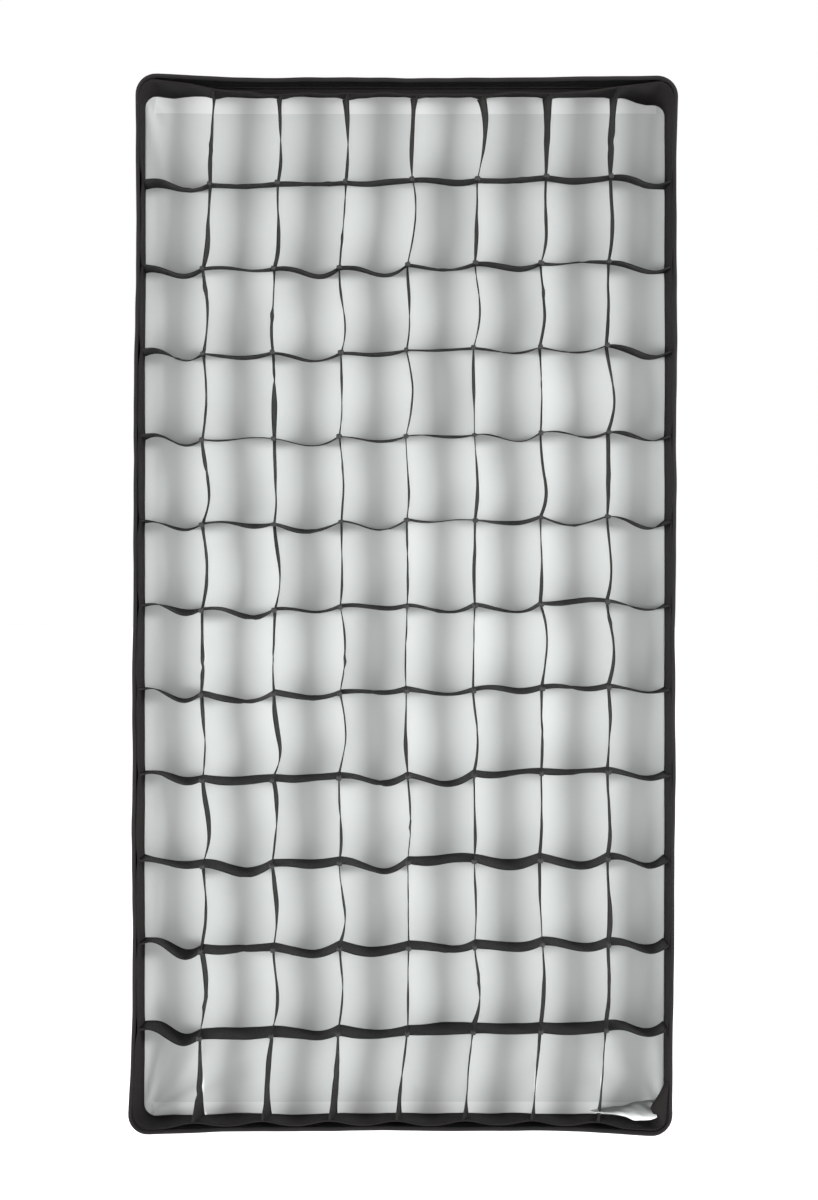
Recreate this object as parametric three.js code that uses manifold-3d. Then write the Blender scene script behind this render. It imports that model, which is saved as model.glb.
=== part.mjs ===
// Strip softbox, about 60 x 120 cm, with a rotating bayonet ring, a removable front cloth and a fabric grid.
// Millimetres, +Z up. The light comes in along -Y: the origin is the centre of the face that seats on the lamp
// head, the bayonet neck points to +Y, and the front of the box faces -Y.
import * as THREE from "three";
import { mergeVertices } from "three/addons/utils/BufferGeometryUtils.js";
import Module from "manifold-3d";

const wasm = await Module();
wasm.setup();

// ---------------------------------------------------------------- driving dimensions
const FRONT_WIDTH = 610; // across the lip
const FRONT_HEIGHT = 1195;
const FRONT_CORNER_RADIUS = 24;
const SHELL_REAR_RADIUS = 96; // round opening of the cloth shell at the ring
const SHELL_REAR_Y = -19;
const SHELL_FRONT_Y = -430;
const LEAVING_ANGLE = THREE.MathUtils.degToRad(16); // of the ribs, forward of the ring's plane
const CLOTH = 1.6; // shell cloth with its lining
const GAP = 0.3; // between pieces that touch

const LIP_REAR_Y = SHELL_FRONT_Y - 1.4;
const LIP_FRONT_Y = -492;
const LIP_THICKNESS = 2;
const TAPE_THICKNESS = 1.4;
const BAND_THICKNESS = 1.5;

const GRID_COLUMNS = 8;
const GRID_ROWS = 12;
const GRID_DEPTH = 48;
const GRID_FRONT_Y = -489;
const STRIP_THICKNESS = 1.2;

const BORE_RADIUS = 44;
const INSERT_RIM_RADIUS = 74;
const RING_OUTER_RADIUS = 92;
const RING_FRONT_BORE = 82.2;
const ROUND_STEPS = 48;

// ---------------------------------------------------------------- materials
const material = (color, roughness, metalness = 0) =>
  new THREE.MeshStandardMaterial({ color, roughness, metalness });
const materials = {
  shellCloth: material(0x121214, 0.75),
  gridCloth: material(0x1b1b1d, 0.85),
  bindingTape: material(0x0e0e10, 0.7),
  hookTape: material(0x0b0b0c, 0.95),
  whiteCloth: material(0xe4e7e6, 0.8),
  castMetal: material(0x17181a, 0.45, 0.8),
  machinedMetal: material(0xb9bcc0, 0.3, 1),
  rib: material(0xd6d3c8, 0.4),
  rubber: material(0x141414, 0.9),
  knobPlastic: material(0x101011, 0.5),
  brass: material(0xb08d4a, 0.35, 1),
};

// ---------------------------------------------------------------- solids and booleans
function solidOf(geometry) {
  const bare = geometry.clone();
  bare.deleteAttribute("normal");
  bare.deleteAttribute("uv");
  const merged = mergeVertices(bare, 1e-3);
  return new wasm.Manifold(
    new wasm.Mesh({
      numProp: 3,
      vertProperties: merged.attributes.position.array,
      triVerts: new Uint32Array(merged.index.array),
    }),
  );
}

function geometryOf(solid) {
  const mesh = solid.getMesh();
  const geometry = new THREE.BufferGeometry();
  geometry.setAttribute("position", new THREE.BufferAttribute(mesh.vertProperties, 3));
  geometry.setIndex(new THREE.BufferAttribute(mesh.triVerts, 1));
  geometry.computeVertexNormals();
  return geometry;
}

const join = (first, ...others) =>
  geometryOf(others.reduce((made, other) => made.add(solidOf(other)), solidOf(first)));
const cut = (first, ...others) =>
  geometryOf(others.reduce((made, other) => made.subtract(solidOf(other)), solidOf(first)));

// ---------------------------------------------------------------- basic shapes
// A ring about the Y axis from a closed outline of [radius, y] points, listed anticlockwise.
function turned(outline, steps = ROUND_STEPS) {
  const points = [...outline, outline[0]].map(([r, y]) => new THREE.Vector2(r, y));
  return new THREE.LatheGeometry(points, steps);
}

// A cylinder from one point to another.
function rod(from, to, radius, sides = 16) {
  const along = new THREE.Vector3().subVectors(to, from);
  const made = new THREE.CylinderGeometry(radius, radius, along.length(), sides);
  made.translate(0, along.length() / 2, 0);
  const turn = new THREE.Quaternion().setFromUnitVectors(
    new THREE.Vector3(0, 1, 0),
    along.normalize(),
  );
  return made.applyQuaternion(turn).translate(from.x, from.y, from.z);
}

function roundShape(radius, sides) {
  const points = [];
  for (let i = 0; i < sides; i++) {
    const angle = (2 * Math.PI * i) / sides;
    points.push(new THREE.Vector2(radius * Math.cos(angle), radius * Math.sin(angle)));
  }
  return new THREE.Shape(points);
}

// A round cord along a curve.
function swept(curve, radius, sides, steps) {
  return new THREE.ExtrudeGeometry(roundShape(radius, sides), { steps, extrudePath: curve });
}

function roundedRectangle(halfWidth, halfHeight, radius) {
  const shape = new THREE.Shape();
  const x = halfWidth - radius;
  const y = halfHeight - radius;
  shape.absarc(x, y, radius, 0, Math.PI / 2);
  shape.absarc(-x, y, radius, Math.PI / 2, Math.PI);
  shape.absarc(-x, -y, radius, Math.PI, 1.5 * Math.PI);
  shape.absarc(x, -y, radius, 1.5 * Math.PI, 2 * Math.PI);
  return shape;
}

// A band of cloth or tape that runs round inside the lip, inset from the lip's outer face.
function frontBand(inset, thickness, rearY, frontY) {
  const outer = (extra) =>
    roundedRectangle(
      FRONT_WIDTH / 2 - inset - extra,
      FRONT_HEIGHT / 2 - inset - extra,
      FRONT_CORNER_RADIUS - inset - extra,
    );
  const shape = outer(0);
  shape.holes.push(outer(thickness));
  return facingFront(shape, rearY, frontY);
}

// A flat shape drawn in X and Z, as thick as the way from rearY to frontY.
function facingFront(shape, rearY, frontY, curveSegments = 5) {
  const made = new THREE.ExtrudeGeometry(shape, {
    depth: rearY - frontY,
    bevelEnabled: false,
    curveSegments,
  });
  return made.rotateX(Math.PI / 2).translate(0, rearY, 0);
}

// A sheet with thickness: point(i, j) gives its outer face on a grid, and it is thickened inwards, along the
// direction that turning from the second direction to the first one gives.
function thickSheet(point, rows, columns, thickness) {
  const across = columns + 1;
  const count = (rows + 1) * across;
  const positions = new Float32Array(count * 6);
  const small = 1e-3;
  for (let i = 0; i <= rows; i++) {
    for (let j = 0; j <= columns; j++) {
      const here = point(i, j);
      const down = point(Math.min(i + small, rows), j).sub(point(Math.max(i - small, 0), j));
      const over = point(i, Math.min(j + small, columns)).sub(point(i, Math.max(j - small, 0)));
      const inner = here.clone().addScaledVector(over.cross(down).normalize(), thickness);
      here.toArray(positions, 3 * (i * across + j));
      inner.toArray(positions, 3 * (count + i * across + j));
    }
  }
  const index = [];
  const quad = (a, b, c, d) => index.push(a, b, c, a, c, d);
  for (let i = 0; i < rows; i++) {
    for (let j = 0; j < columns; j++) {
      const a = i * across + j;
      quad(a, a + across, a + across + 1, a + 1);
      quad(count + a, count + a + 1, count + a + across + 1, count + a + across);
    }
  }
  for (let i = 0; i < rows; i++) {
    const first = i * across;
    const last = first + columns;
    quad(first, count + first, count + first + across, first + across);
    quad(last, last + across, count + last + across, count + last);
  }
  for (let j = 0; j < columns; j++) {
    const last = rows * across + j;
    quad(j, j + 1, count + j + 1, count + j);
    quad(last, count + last, count + last + 1, last + 1);
  }
  const geometry = new THREE.BufferGeometry();
  geometry.setAttribute("position", new THREE.BufferAttribute(positions, 3));
  geometry.setIndex(index);
  geometry.computeVertexNormals();
  return geometry;
}

// ---------------------------------------------------------------- the shell's shape
// The ribs bend into an arc. share runs from 0 at the ring to 1 at the front seam, and each cross-section is a
// rounded rectangle that starts as the ring's circle.
const shellReach = Math.hypot(
  FRONT_WIDTH / 2 - SHELL_REAR_RADIUS,
  FRONT_HEIGHT / 2 - SHELL_REAR_RADIUS,
);
const shellDepth = SHELL_REAR_Y - SHELL_FRONT_Y;
const halfTurn = Math.atan2(shellDepth, shellReach) - LEAVING_ANGLE;
const ribBend = Math.hypot(shellReach, shellDepth) / (2 * Math.sin(halfTurn));

function shellSection(share) {
  const angle = LEAVING_ANGLE + 2 * halfTurn * share;
  const spread = (ribBend * (Math.sin(angle) - Math.sin(LEAVING_ANGLE))) / shellReach;
  const grown = (target) => SHELL_REAR_RADIUS + (target - SHELL_REAR_RADIUS) * spread;
  return {
    y: SHELL_REAR_Y - ribBend * (Math.cos(LEAVING_ANGLE) - Math.cos(angle)),
    halfWidth: grown(FRONT_WIDTH / 2),
    halfHeight: grown(FRONT_HEIGHT / 2),
    radius: grown(FRONT_CORNER_RADIUS),
    spread,
    angle,
  };
}

// The share at which the shell has a given depth.
function shareAt(y) {
  const cosine = Math.cos(LEAVING_ANGLE) - (SHELL_REAR_Y - y) / ribBend;
  return (Math.acos(cosine) - LEAVING_ANGLE) / (2 * halfTurn);
}

// The line where two panels meet, at the middle of a rounded corner, moved inwards by inset.
function cornerPoint(share, signX, signZ, inset = 0) {
  const { y, halfWidth, halfHeight, radius, angle } = shellSection(share);
  const out = (radius - inset * Math.sin(angle)) * Math.SQRT1_2;
  return new THREE.Vector3(
    signX * (halfWidth - radius + out),
    y - inset * Math.cos(angle),
    signZ * (halfHeight - radius + out),
  );
}

const corners = [
  [1, 1],
  [-1, 1],
  [-1, -1],
  [1, -1],
];

// ---------------------------------------------------------------- cloth shell
const PANEL_ROWS = 14;
const ARC_STEPS = 3;
const STRAIGHT_STEPS = 4;
const SEAM_GAP = 3; // from a corner line to a panel's edge
const PIPING_RADIUS = 2.4;

// A panel on the +X side of a section whose half sizes are out, towards the panel, and side, along it. Its columns
// are spread evenly over the ring's circle, and towards the front they gather in the two rounded corners.
function panelPoint(share, column, outName, sideName) {
  const section = shellSection(share);
  const radius = section.radius;
  const fromMiddle = column - ARC_STEPS - STRAIGHT_STEPS / 2;
  const even = Math.abs(fromMiddle) / (ARC_STEPS + STRAIGHT_STEPS / 2);
  const past = Math.max(0, Math.abs(fromMiddle) - STRAIGHT_STEPS / 2) / ARC_STEPS;
  const angle = (Math.PI / 4 - SEAM_GAP / radius) * THREE.MathUtils.lerp(even, past, section.spread);
  const straight = Math.min(Math.abs(fromMiddle) / (STRAIGHT_STEPS / 2), 1);
  const along = (section[sideName] - radius) * straight + radius * Math.sin(angle);
  return new THREE.Vector3(
    section[outName] - radius + radius * Math.cos(angle),
    section.y,
    Math.sign(fromMiddle) * along,
  );
}

function panel(outName, sideName) {
  return thickSheet(
    (row, column) => panelPoint(row / PANEL_ROWS, column, outName, sideName),
    PANEL_ROWS,
    2 * ARC_STEPS + STRAIGHT_STEPS,
    CLOTH,
  );
}

function cornerPiping(signX, signZ) {
  const [from, to, count] = [0.02, 0.985, 18];
  const points = [];
  for (let i = 0; i <= count; i++) {
    points.push(cornerPoint(from + ((to - from) * i) / count, signX, signZ));
  }
  return swept(new THREE.CatmullRomCurve3(points), PIPING_RADIUS, 6, count);
}

function rearCollar() {
  const inner = RING_OUTER_RADIUS + GAP + 0.1;
  const outer = inner + 2;
  return turned([
    [inner, -21.5],
    [outer, -21.5],
    [outer, -14.2],
    [inner, -14.2],
  ]);
}

// ---------------------------------------------------------------- bayonet insert
const SEAT_LAND = 56; // the lamp head seats outside this radius
const NECK_LENGTH = 14;

function bayonetLug(turn) {
  const halfAngle = THREE.MathUtils.degToRad(14);
  const [inner, outer] = [46, 52];
  const shape = new THREE.Shape();
  shape.absarc(0, 0, outer, turn - halfAngle, turn + halfAngle, false);
  shape.absarc(0, 0, inner, turn + halfAngle, turn - halfAngle, true);
  return facingFront(shape, 12.5, 9.5, 6);
}

function bayonetInsert() {
  const body = turned([
    [BORE_RADIUS, -11],
    [INSERT_RIM_RADIUS, -11],
    [INSERT_RIM_RADIUS, -4],
    [68, -4],
    [68, 0],
    [SEAT_LAND, 0],
    [SEAT_LAND, -0.8],
    [47.5, -0.8],
    [47.5, NECK_LENGTH],
    [BORE_RADIUS, NECK_LENGTH],
  ]);
  const lugs = [0, 1, 2].map((i) => bayonetLug(Math.PI / 2 + (i * 2 * Math.PI) / 3));
  const lockPinHole = rod(new THREE.Vector3(62, -12, 0), new THREE.Vector3(62, 1, 0), 3);
  return cut(join(body, ...lugs), lockPinHole);
}

// ---------------------------------------------------------------- speed ring
const SOCKET_RADIUS = 6;
const SOCKET_LENGTH = 26;
const RIB_RADIUS = 3;
const RIB_INSET_REAR = 11; // from the cloth to a rib's middle
const RIB_INSET_FRONT = 15;
const RIB_END_SHARE = 0.951;
const KNOB_Y = -7.5;
const RETAINER_SCREWS = 3;
const RETAINER_SCREW_RADIUS = 78.4;

const ribPoint = (share, signX, signZ) =>
  cornerPoint(
    share,
    signX,
    signZ,
    RIB_INSET_REAR + (RIB_INSET_FRONT - RIB_INSET_REAR) * share,
  );

// A rib's root in the ring and its direction there.
function ribRoot(signX, signZ) {
  const root = ribPoint(0, signX, signZ);
  const direction = ribPoint(0.02, signX, signZ).sub(root).normalize();
  return { root, direction };
}

const retainerScrewAngle = (i) => Math.PI / 6 + (i * 2 * Math.PI) / RETAINER_SCREWS;

function aroundAxis(radius, angle, y) {
  return new THREE.Vector3(radius * Math.cos(angle), y, radius * Math.sin(angle));
}

function speedRing() {
  const body = turned([
    [RING_FRONT_BORE, -35],
    [RING_OUTER_RADIUS, -35],
    [RING_OUTER_RADIUS, -0.8],
    [68.6, -0.8],
    [68.6, -3.7],
    [74.6, -3.7],
    [74.6, -11.2],
    [RING_FRONT_BORE, -11.2],
  ]);
  const sockets = [];
  const holes = [];
  for (const [signX, signZ] of corners) {
    const { root, direction } = ribRoot(signX, signZ);
    const at = (distance) => root.clone().addScaledVector(direction, distance);
    sockets.push(rod(at(-4), at(SOCKET_LENGTH - 4), SOCKET_RADIUS));
    holes.push(rod(at(-6.5), at(SOCKET_LENGTH), RIB_RADIUS + 0.7, 12));
  }
  const knobBoss = rod(
    new THREE.Vector3(0, KNOB_Y, RING_OUTER_RADIUS - 5),
    new THREE.Vector3(0, KNOB_Y, RING_OUTER_RADIUS + 5),
    5.8,
  );
  const knobHole = rod(
    new THREE.Vector3(0, KNOB_Y, INSERT_RIM_RADIUS - 1),
    new THREE.Vector3(0, KNOB_Y, RING_OUTER_RADIUS + 8),
    2.9,
    12,
  );
  for (let i = 0; i < RETAINER_SCREWS; i++) {
    const angle = retainerScrewAngle(i);
    holes.push(
      rod(
        aroundAxis(RETAINER_SCREW_RADIUS, angle, -12),
        aroundAxis(RETAINER_SCREW_RADIUS, angle, -4),
        1.8,
        10,
      ),
    );
  }
  return cut(join(body, ...sockets, knobBoss), knobHole, ...holes);
}

function retainingRing() {
  const body = turned([
    [64, -14],
    [RING_FRONT_BORE - 0.4, -14],
    [RING_FRONT_BORE - 0.4, -11.5],
    [64, -11.5],
  ]);
  const holes = [];
  for (let i = 0; i < RETAINER_SCREWS; i++) {
    const angle = retainerScrewAngle(i);
    holes.push(
      rod(
        aroundAxis(RETAINER_SCREW_RADIUS, angle, -15),
        aroundAxis(RETAINER_SCREW_RADIUS, angle, -11),
        1.8,
        10,
      ),
    );
  }
  return cut(body, ...holes);
}

// A pan-head screw along +Y with its head's underside at the origin.
function retainerScrew() {
  return turned(
    [
      [0, -1.9],
      [2, -1.9],
      [2.9, -1.2],
      [2.9, 0],
      [1.45, 0],
      [1.45, 8.5],
      [0, 8.5],
    ],
    10,
  );
}

// ---------------------------------------------------------------- lock screw
// The knob's screw turns in the ring's boss and moves the pad, which presses on the insert's rim.
const PAD_LENGTH = 6;
const PAD_TIP = INSERT_RIM_RADIUS + 0.35;

function lockKnob() {
  const [lobes, radius, wave, thickness] = [6, 8.8, 1, 15];
  const points = [];
  const steps = lobes * 8;
  for (let i = 0; i < steps; i++) {
    const angle = (2 * Math.PI * i) / steps;
    const reach = radius + wave * Math.cos(lobes * angle);
    points.push(new THREE.Vector2(reach * Math.cos(angle), reach * Math.sin(angle)));
  }
  const grip = new THREE.ExtrudeGeometry(new THREE.Shape(points), {
    depth: thickness - 2,
    bevelThickness: 1,
    bevelSize: 0.8,
    bevelSegments: 1,
  }).translate(0, 0, RING_OUTER_RADIUS + 10);
  const screw = rod(
    new THREE.Vector3(0, 0, PAD_TIP + PAD_LENGTH + 0.4),
    new THREE.Vector3(0, 0, RING_OUTER_RADIUS + 12),
    2.5,
    12,
  );
  return join(grip, screw);
}

const lockPad = () =>
  rod(new THREE.Vector3(0, 0, PAD_TIP), new THREE.Vector3(0, 0, PAD_TIP + PAD_LENGTH), 2.4, 12);

// ---------------------------------------------------------------- ribs and corner pockets
const RIB_STEPS = 22;

function rib(signX, signZ) {
  const { root, direction } = ribRoot(signX, signZ);
  const points = [root.clone().addScaledVector(direction, -5.5)];
  for (let i = 0; i <= RIB_STEPS; i++) {
    points.push(ribPoint((RIB_END_SHARE * i) / RIB_STEPS, signX, signZ));
  }
  return swept(new THREE.CatmullRomCurve3(points), RIB_RADIUS, 8, RIB_STEPS);
}

// A cup about the Y axis, open at -Y, whose floor is from y = 0 to y = floor.
function cup(inner, outer, length, floor) {
  return turned(
    [
      [0, 0],
      [inner, 0],
      [inner, -length],
      [outer, -length],
      [outer, floor],
      [0, floor],
    ],
    12,
  );
}

// Turns a mesh made about the Y axis so that +Y points along a rib's end, with its origin past that end.
function placeOnRibEnd(mesh, signX, signZ, past) {
  const end = ribPoint(RIB_END_SHARE, signX, signZ);
  const along = end.clone().sub(ribPoint(RIB_END_SHARE - 0.01, signX, signZ)).normalize();
  mesh.quaternion.setFromUnitVectors(new THREE.Vector3(0, 1, 0), along);
  mesh.position.copy(end).addScaledVector(along, past);
  return mesh;
}

const ribEndCap = () => cup(RIB_RADIUS + 0.4, 5, 14, 3.5);
const cornerPocket = () => cup(5.5, 8, 24, 2.5);

// ---------------------------------------------------------------- inner baffle
const BAFFLE_Y = -290;
const BAFFLE_SHARE_OF_SECTION = 0.82;
const TAB_WIDTH = 22;
const TAB_OVERLAP = 12; // a tab lies on the baffle's edge by this much

const baffleSection = shellSection(shareAt(BAFFLE_Y));
const baffleHalfWidth = baffleSection.halfWidth * BAFFLE_SHARE_OF_SECTION;
const baffleHalfHeight =
  baffleSection.halfHeight - (baffleSection.halfWidth - baffleHalfWidth);

function innerBaffle() {
  return facingFront(roundedRectangle(baffleHalfWidth, baffleHalfHeight, 18), BAFFLE_Y, BAFFLE_Y - 1);
}

// An elastic tab along +X, from the baffle's edge to the shell's wall.
function baffleTab(edge, wall) {
  const [start, end] = [edge - TAB_OVERLAP, wall - CLOTH - 5];
  return new THREE.BoxGeometry(end - start, 1.2, TAB_WIDTH).translate(
    (start + end) / 2,
    BAFFLE_Y + GAP + 0.6,
    0,
  );
}

// ---------------------------------------------------------------- front cloth
const BAND_INSET = LIP_THICKNESS + GAP + TAPE_THICKNESS + GAP;
const FRONT_CLOTH_Y = -436;
const FRONT_CLOTH = 1.5;

function frontCloth() {
  const shape = roundedRectangle(
    FRONT_WIDTH / 2 - BAND_INSET,
    FRONT_HEIGHT / 2 - BAND_INSET,
    FRONT_CORNER_RADIUS - BAND_INSET,
  );
  return facingFront(shape, FRONT_CLOTH_Y, FRONT_CLOTH_Y - FRONT_CLOTH);
}

function frontClothBand() {
  const rear = FRONT_CLOTH_Y - FRONT_CLOTH - GAP;
  return frontBand(BAND_INSET, BAND_THICKNESS, rear, rear - 14);
}

// ---------------------------------------------------------------- grid
const GRID_BAND_INSET = BAND_INSET + BAND_THICKNESS + GAP;
const GRID_BAND_THICKNESS = 1.4;
const gridHalfWidth = FRONT_WIDTH / 2 - GRID_BAND_INSET - GRID_BAND_THICKNESS;
const gridHalfHeight = FRONT_HEIGHT / 2 - GRID_BAND_INSET - GRID_BAND_THICKNESS;
const columnPitch = (2 * gridHalfWidth) / GRID_COLUMNS;
const rowPitch = (2 * gridHalfHeight) / GRID_ROWS;
const linePlace = (i, count, pitch) => (i - count / 2) * pitch;

// A strip along Z, as deep as the grid, with a slot halfway through it at each crossing. Slots of strips that
// cross each other come from opposite edges.
function slottedStrip(halfLength, crossings, slotFromFront) {
  const slot = STRIP_THICKNESS / 2 + 0.4;
  const middle = GRID_DEPTH / 2 + (slotFromFront ? -0.2 : 0.2);
  const [edge, far] = slotFromFront ? [GRID_DEPTH, 0] : [0, GRID_DEPTH];
  const points = [new THREE.Vector2(edge, -halfLength)];
  for (const at of crossings) {
    points.push(
      new THREE.Vector2(edge, at - slot),
      new THREE.Vector2(middle, at - slot),
      new THREE.Vector2(middle, at + slot),
      new THREE.Vector2(edge, at + slot),
    );
  }
  points.push(
    new THREE.Vector2(edge, halfLength),
    new THREE.Vector2(far, halfLength),
    new THREE.Vector2(far, -halfLength),
  );
  const made = new THREE.ExtrudeGeometry(new THREE.Shape(points), {
    depth: STRIP_THICKNESS,
    bevelEnabled: false,
  });
  const depthToFront = new THREE.Matrix4().makeBasis(
    new THREE.Vector3(0, -1, 0),
    new THREE.Vector3(0, 0, 1),
    new THREE.Vector3(-1, 0, 0),
  );
  return made
    .translate(0, 0, -STRIP_THICKNESS / 2)
    .applyMatrix4(depthToFront)
    .translate(0, GRID_FRONT_Y + GRID_DEPTH, 0);
}

// ---------------------------------------------------------------- assembly
function named(name, geometry, kind) {
  const mesh = new THREE.Mesh(geometry, kind);
  mesh.name = name;
  return mesh;
}

const softbox = new THREE.Group();

const lampSide = new THREE.Group();
lampSide.add(named("bayonet_insert", bayonetInsert(), materials.machinedMetal));

const ringAssembly = new THREE.Group();
ringAssembly.add(
  named("speed_ring", speedRing(), materials.castMetal),
  named("retaining_ring", retainingRing(), materials.machinedMetal),
);
for (let i = 0; i < RETAINER_SCREWS; i++) {
  const screw = named(`retainer_screw_${i + 1}`, retainerScrew(), materials.machinedMetal);
  screw.position.copy(aroundAxis(RETAINER_SCREW_RADIUS, retainerScrewAngle(i), -14.3));
  ringAssembly.add(screw);
}

const lockScrew = new THREE.Group();
lockScrew.position.y = KNOB_Y;
lockScrew.add(
  named("lock_knob", lockKnob(), materials.knobPlastic),
  named("lock_pad", lockPad(), materials.brass),
);

const shell = new THREE.Group();
const rightPanel = panel("halfWidth", "halfHeight");
const topPanel = panel("halfHeight", "halfWidth");
const panels = [
  ["panel_right", rightPanel, 0],
  ["panel_left", rightPanel, Math.PI],
  ["panel_top", topPanel, -Math.PI / 2],
  ["panel_bottom", topPanel, Math.PI / 2],
];
for (const [name, geometry, turn] of panels) {
  const mesh = named(name, geometry, materials.shellCloth);
  mesh.rotation.y = turn;
  shell.add(mesh);
}
shell.add(
  named("rear_collar", rearCollar(), materials.bindingTape),
  named("front_lip", frontBand(0, LIP_THICKNESS, LIP_REAR_Y, LIP_FRONT_Y), materials.shellCloth),
  named(
    "hook_tape",
    frontBand(LIP_THICKNESS + GAP, TAPE_THICKNESS, LIP_REAR_Y - 1.5, LIP_FRONT_Y + 4),
    materials.hookTape,
  ),
);
corners.forEach(([signX, signZ], i) => {
  const cap = named(`rib_end_cap_${i + 1}`, ribEndCap(), materials.rubber);
  const pocket = named(`corner_pocket_${i + 1}`, cornerPocket(), materials.bindingTape);
  shell.add(
    named(`corner_piping_${i + 1}`, cornerPiping(signX, signZ), materials.bindingTape),
    named(`rib_${i + 1}`, rib(signX, signZ), materials.rib),
    placeOnRibEnd(cap, signX, signZ, 0.5),
    placeOnRibEnd(pocket, signX, signZ, 4.5),
  );
});

const baffle = new THREE.Group();
baffle.add(named("inner_baffle", innerBaffle(), materials.whiteCloth));
const sideTab = baffleTab(baffleHalfWidth, baffleSection.halfWidth);
const endTab = baffleTab(baffleHalfHeight, baffleSection.halfHeight);
const tabs = [
  [sideTab, 0, 1],
  [sideTab, 0, -1],
  [sideTab, Math.PI, 1],
  [sideTab, Math.PI, -1],
  [endTab, -Math.PI / 2, 0],
  [endTab, Math.PI / 2, 0],
];
tabs.forEach(([geometry, turn, side], i) => {
  const tab = named(`baffle_tab_${i + 1}`, geometry, materials.bindingTape);
  tab.rotation.y = turn;
  tab.position.z = (side * baffleHalfHeight) / 2;
  baffle.add(tab);
});

const front = new THREE.Group();
front.add(
  named("front_cloth", frontCloth(), materials.whiteCloth),
  named("front_cloth_band", frontClothBand(), materials.hookTape),
);

const grid = new THREE.Group();
const columnPlaces = [];
for (let i = 1; i < GRID_COLUMNS; i++) columnPlaces.push(linePlace(i, GRID_COLUMNS, columnPitch));
const rowPlaces = [];
for (let i = 1; i < GRID_ROWS; i++) rowPlaces.push(linePlace(i, GRID_ROWS, rowPitch));

const upright = slottedStrip(gridHalfHeight - GAP, rowPlaces, false);
columnPlaces.forEach((x, i) => {
  const strip = named(`grid_upright_${i + 1}`, upright, materials.gridCloth);
  strip.position.x = x;
  grid.add(strip);
});
const crossStrip = slottedStrip(gridHalfWidth - GAP, columnPlaces, true);
rowPlaces.forEach((z, i) => {
  const strip = named(`grid_cross_${i + 1}`, crossStrip, materials.gridCloth);
  strip.rotation.y = Math.PI / 2;
  strip.position.z = z;
  grid.add(strip);
});
grid.add(
  named(
    "grid_band",
    frontBand(GRID_BAND_INSET, GRID_BAND_THICKNESS, GRID_FRONT_Y + GRID_DEPTH, GRID_FRONT_Y),
    materials.hookTape,
  ),
);

softbox.add(lampSide, ringAssembly, lockScrew, shell, baffle, front, grid);
export default softbox;
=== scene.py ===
"""A 60 x 120 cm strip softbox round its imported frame: cloth shell, lip, front cloth, grid, ribs and ring.
Metres, +Z up. The front faces -Y."""

import random
from math import acos, atan2, copysign, cos, exp, hypot, pi, radians, sin, sqrt

import bpy
import numpy as np
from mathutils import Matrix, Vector, noise

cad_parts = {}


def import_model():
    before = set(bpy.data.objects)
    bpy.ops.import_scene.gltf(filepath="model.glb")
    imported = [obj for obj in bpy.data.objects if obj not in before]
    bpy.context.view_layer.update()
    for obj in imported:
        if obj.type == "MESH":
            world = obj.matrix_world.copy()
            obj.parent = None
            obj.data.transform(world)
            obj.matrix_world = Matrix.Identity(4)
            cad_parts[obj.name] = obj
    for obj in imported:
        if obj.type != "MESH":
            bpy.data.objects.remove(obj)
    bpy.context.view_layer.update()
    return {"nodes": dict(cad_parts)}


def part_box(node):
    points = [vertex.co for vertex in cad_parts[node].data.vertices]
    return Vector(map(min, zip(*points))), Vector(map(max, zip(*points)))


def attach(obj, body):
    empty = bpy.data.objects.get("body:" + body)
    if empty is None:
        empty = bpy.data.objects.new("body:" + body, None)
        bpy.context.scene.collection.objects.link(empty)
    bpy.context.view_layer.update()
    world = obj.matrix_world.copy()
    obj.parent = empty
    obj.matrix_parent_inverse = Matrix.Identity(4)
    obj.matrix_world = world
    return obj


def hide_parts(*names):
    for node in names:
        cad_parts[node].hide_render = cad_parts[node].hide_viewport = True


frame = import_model()

MM = 0.001
SEED = 41

# ---------------- sizes, from the frame
LIP_LOW, LIP_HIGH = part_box("front_lip")
HALF_WIDTH, HALF_HEIGHT = LIP_HIGH.x, LIP_HIGH.z
LIP_FRONT, LIP_REAR = LIP_LOW.y, LIP_HIGH.y
CORNER_RADIUS = 24 * MM
BAND_LOW, BAND_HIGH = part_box("grid_band")
BAND_INSET = HALF_WIDTH - BAND_HIGH.x
BAND_THICKNESS = 1.4 * MM
GRID_FRONT, GRID_REAR = BAND_LOW.y, BAND_HIGH.y
UPRIGHTS = sum(1 for name in frame["nodes"] if name.startswith("grid_upright_"))
CROSSES = sum(1 for name in frame["nodes"] if name.startswith("grid_cross_"))


def middle(node):
    low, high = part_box(node)
    return (low + high) / 2


INNER_X = BAND_HIGH.x - BAND_THICKNESS
INNER_Z = BAND_HIGH.z - BAND_THICKNESS
COLUMN_X = [-INNER_X, *(middle(f"grid_upright_{i + 1}").x for i in range(UPRIGHTS)), INNER_X]
ROW_Z = [-INNER_Z, *(middle(f"grid_cross_{j + 1}").z for j in range(CROSSES)), INNER_Z]


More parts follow.
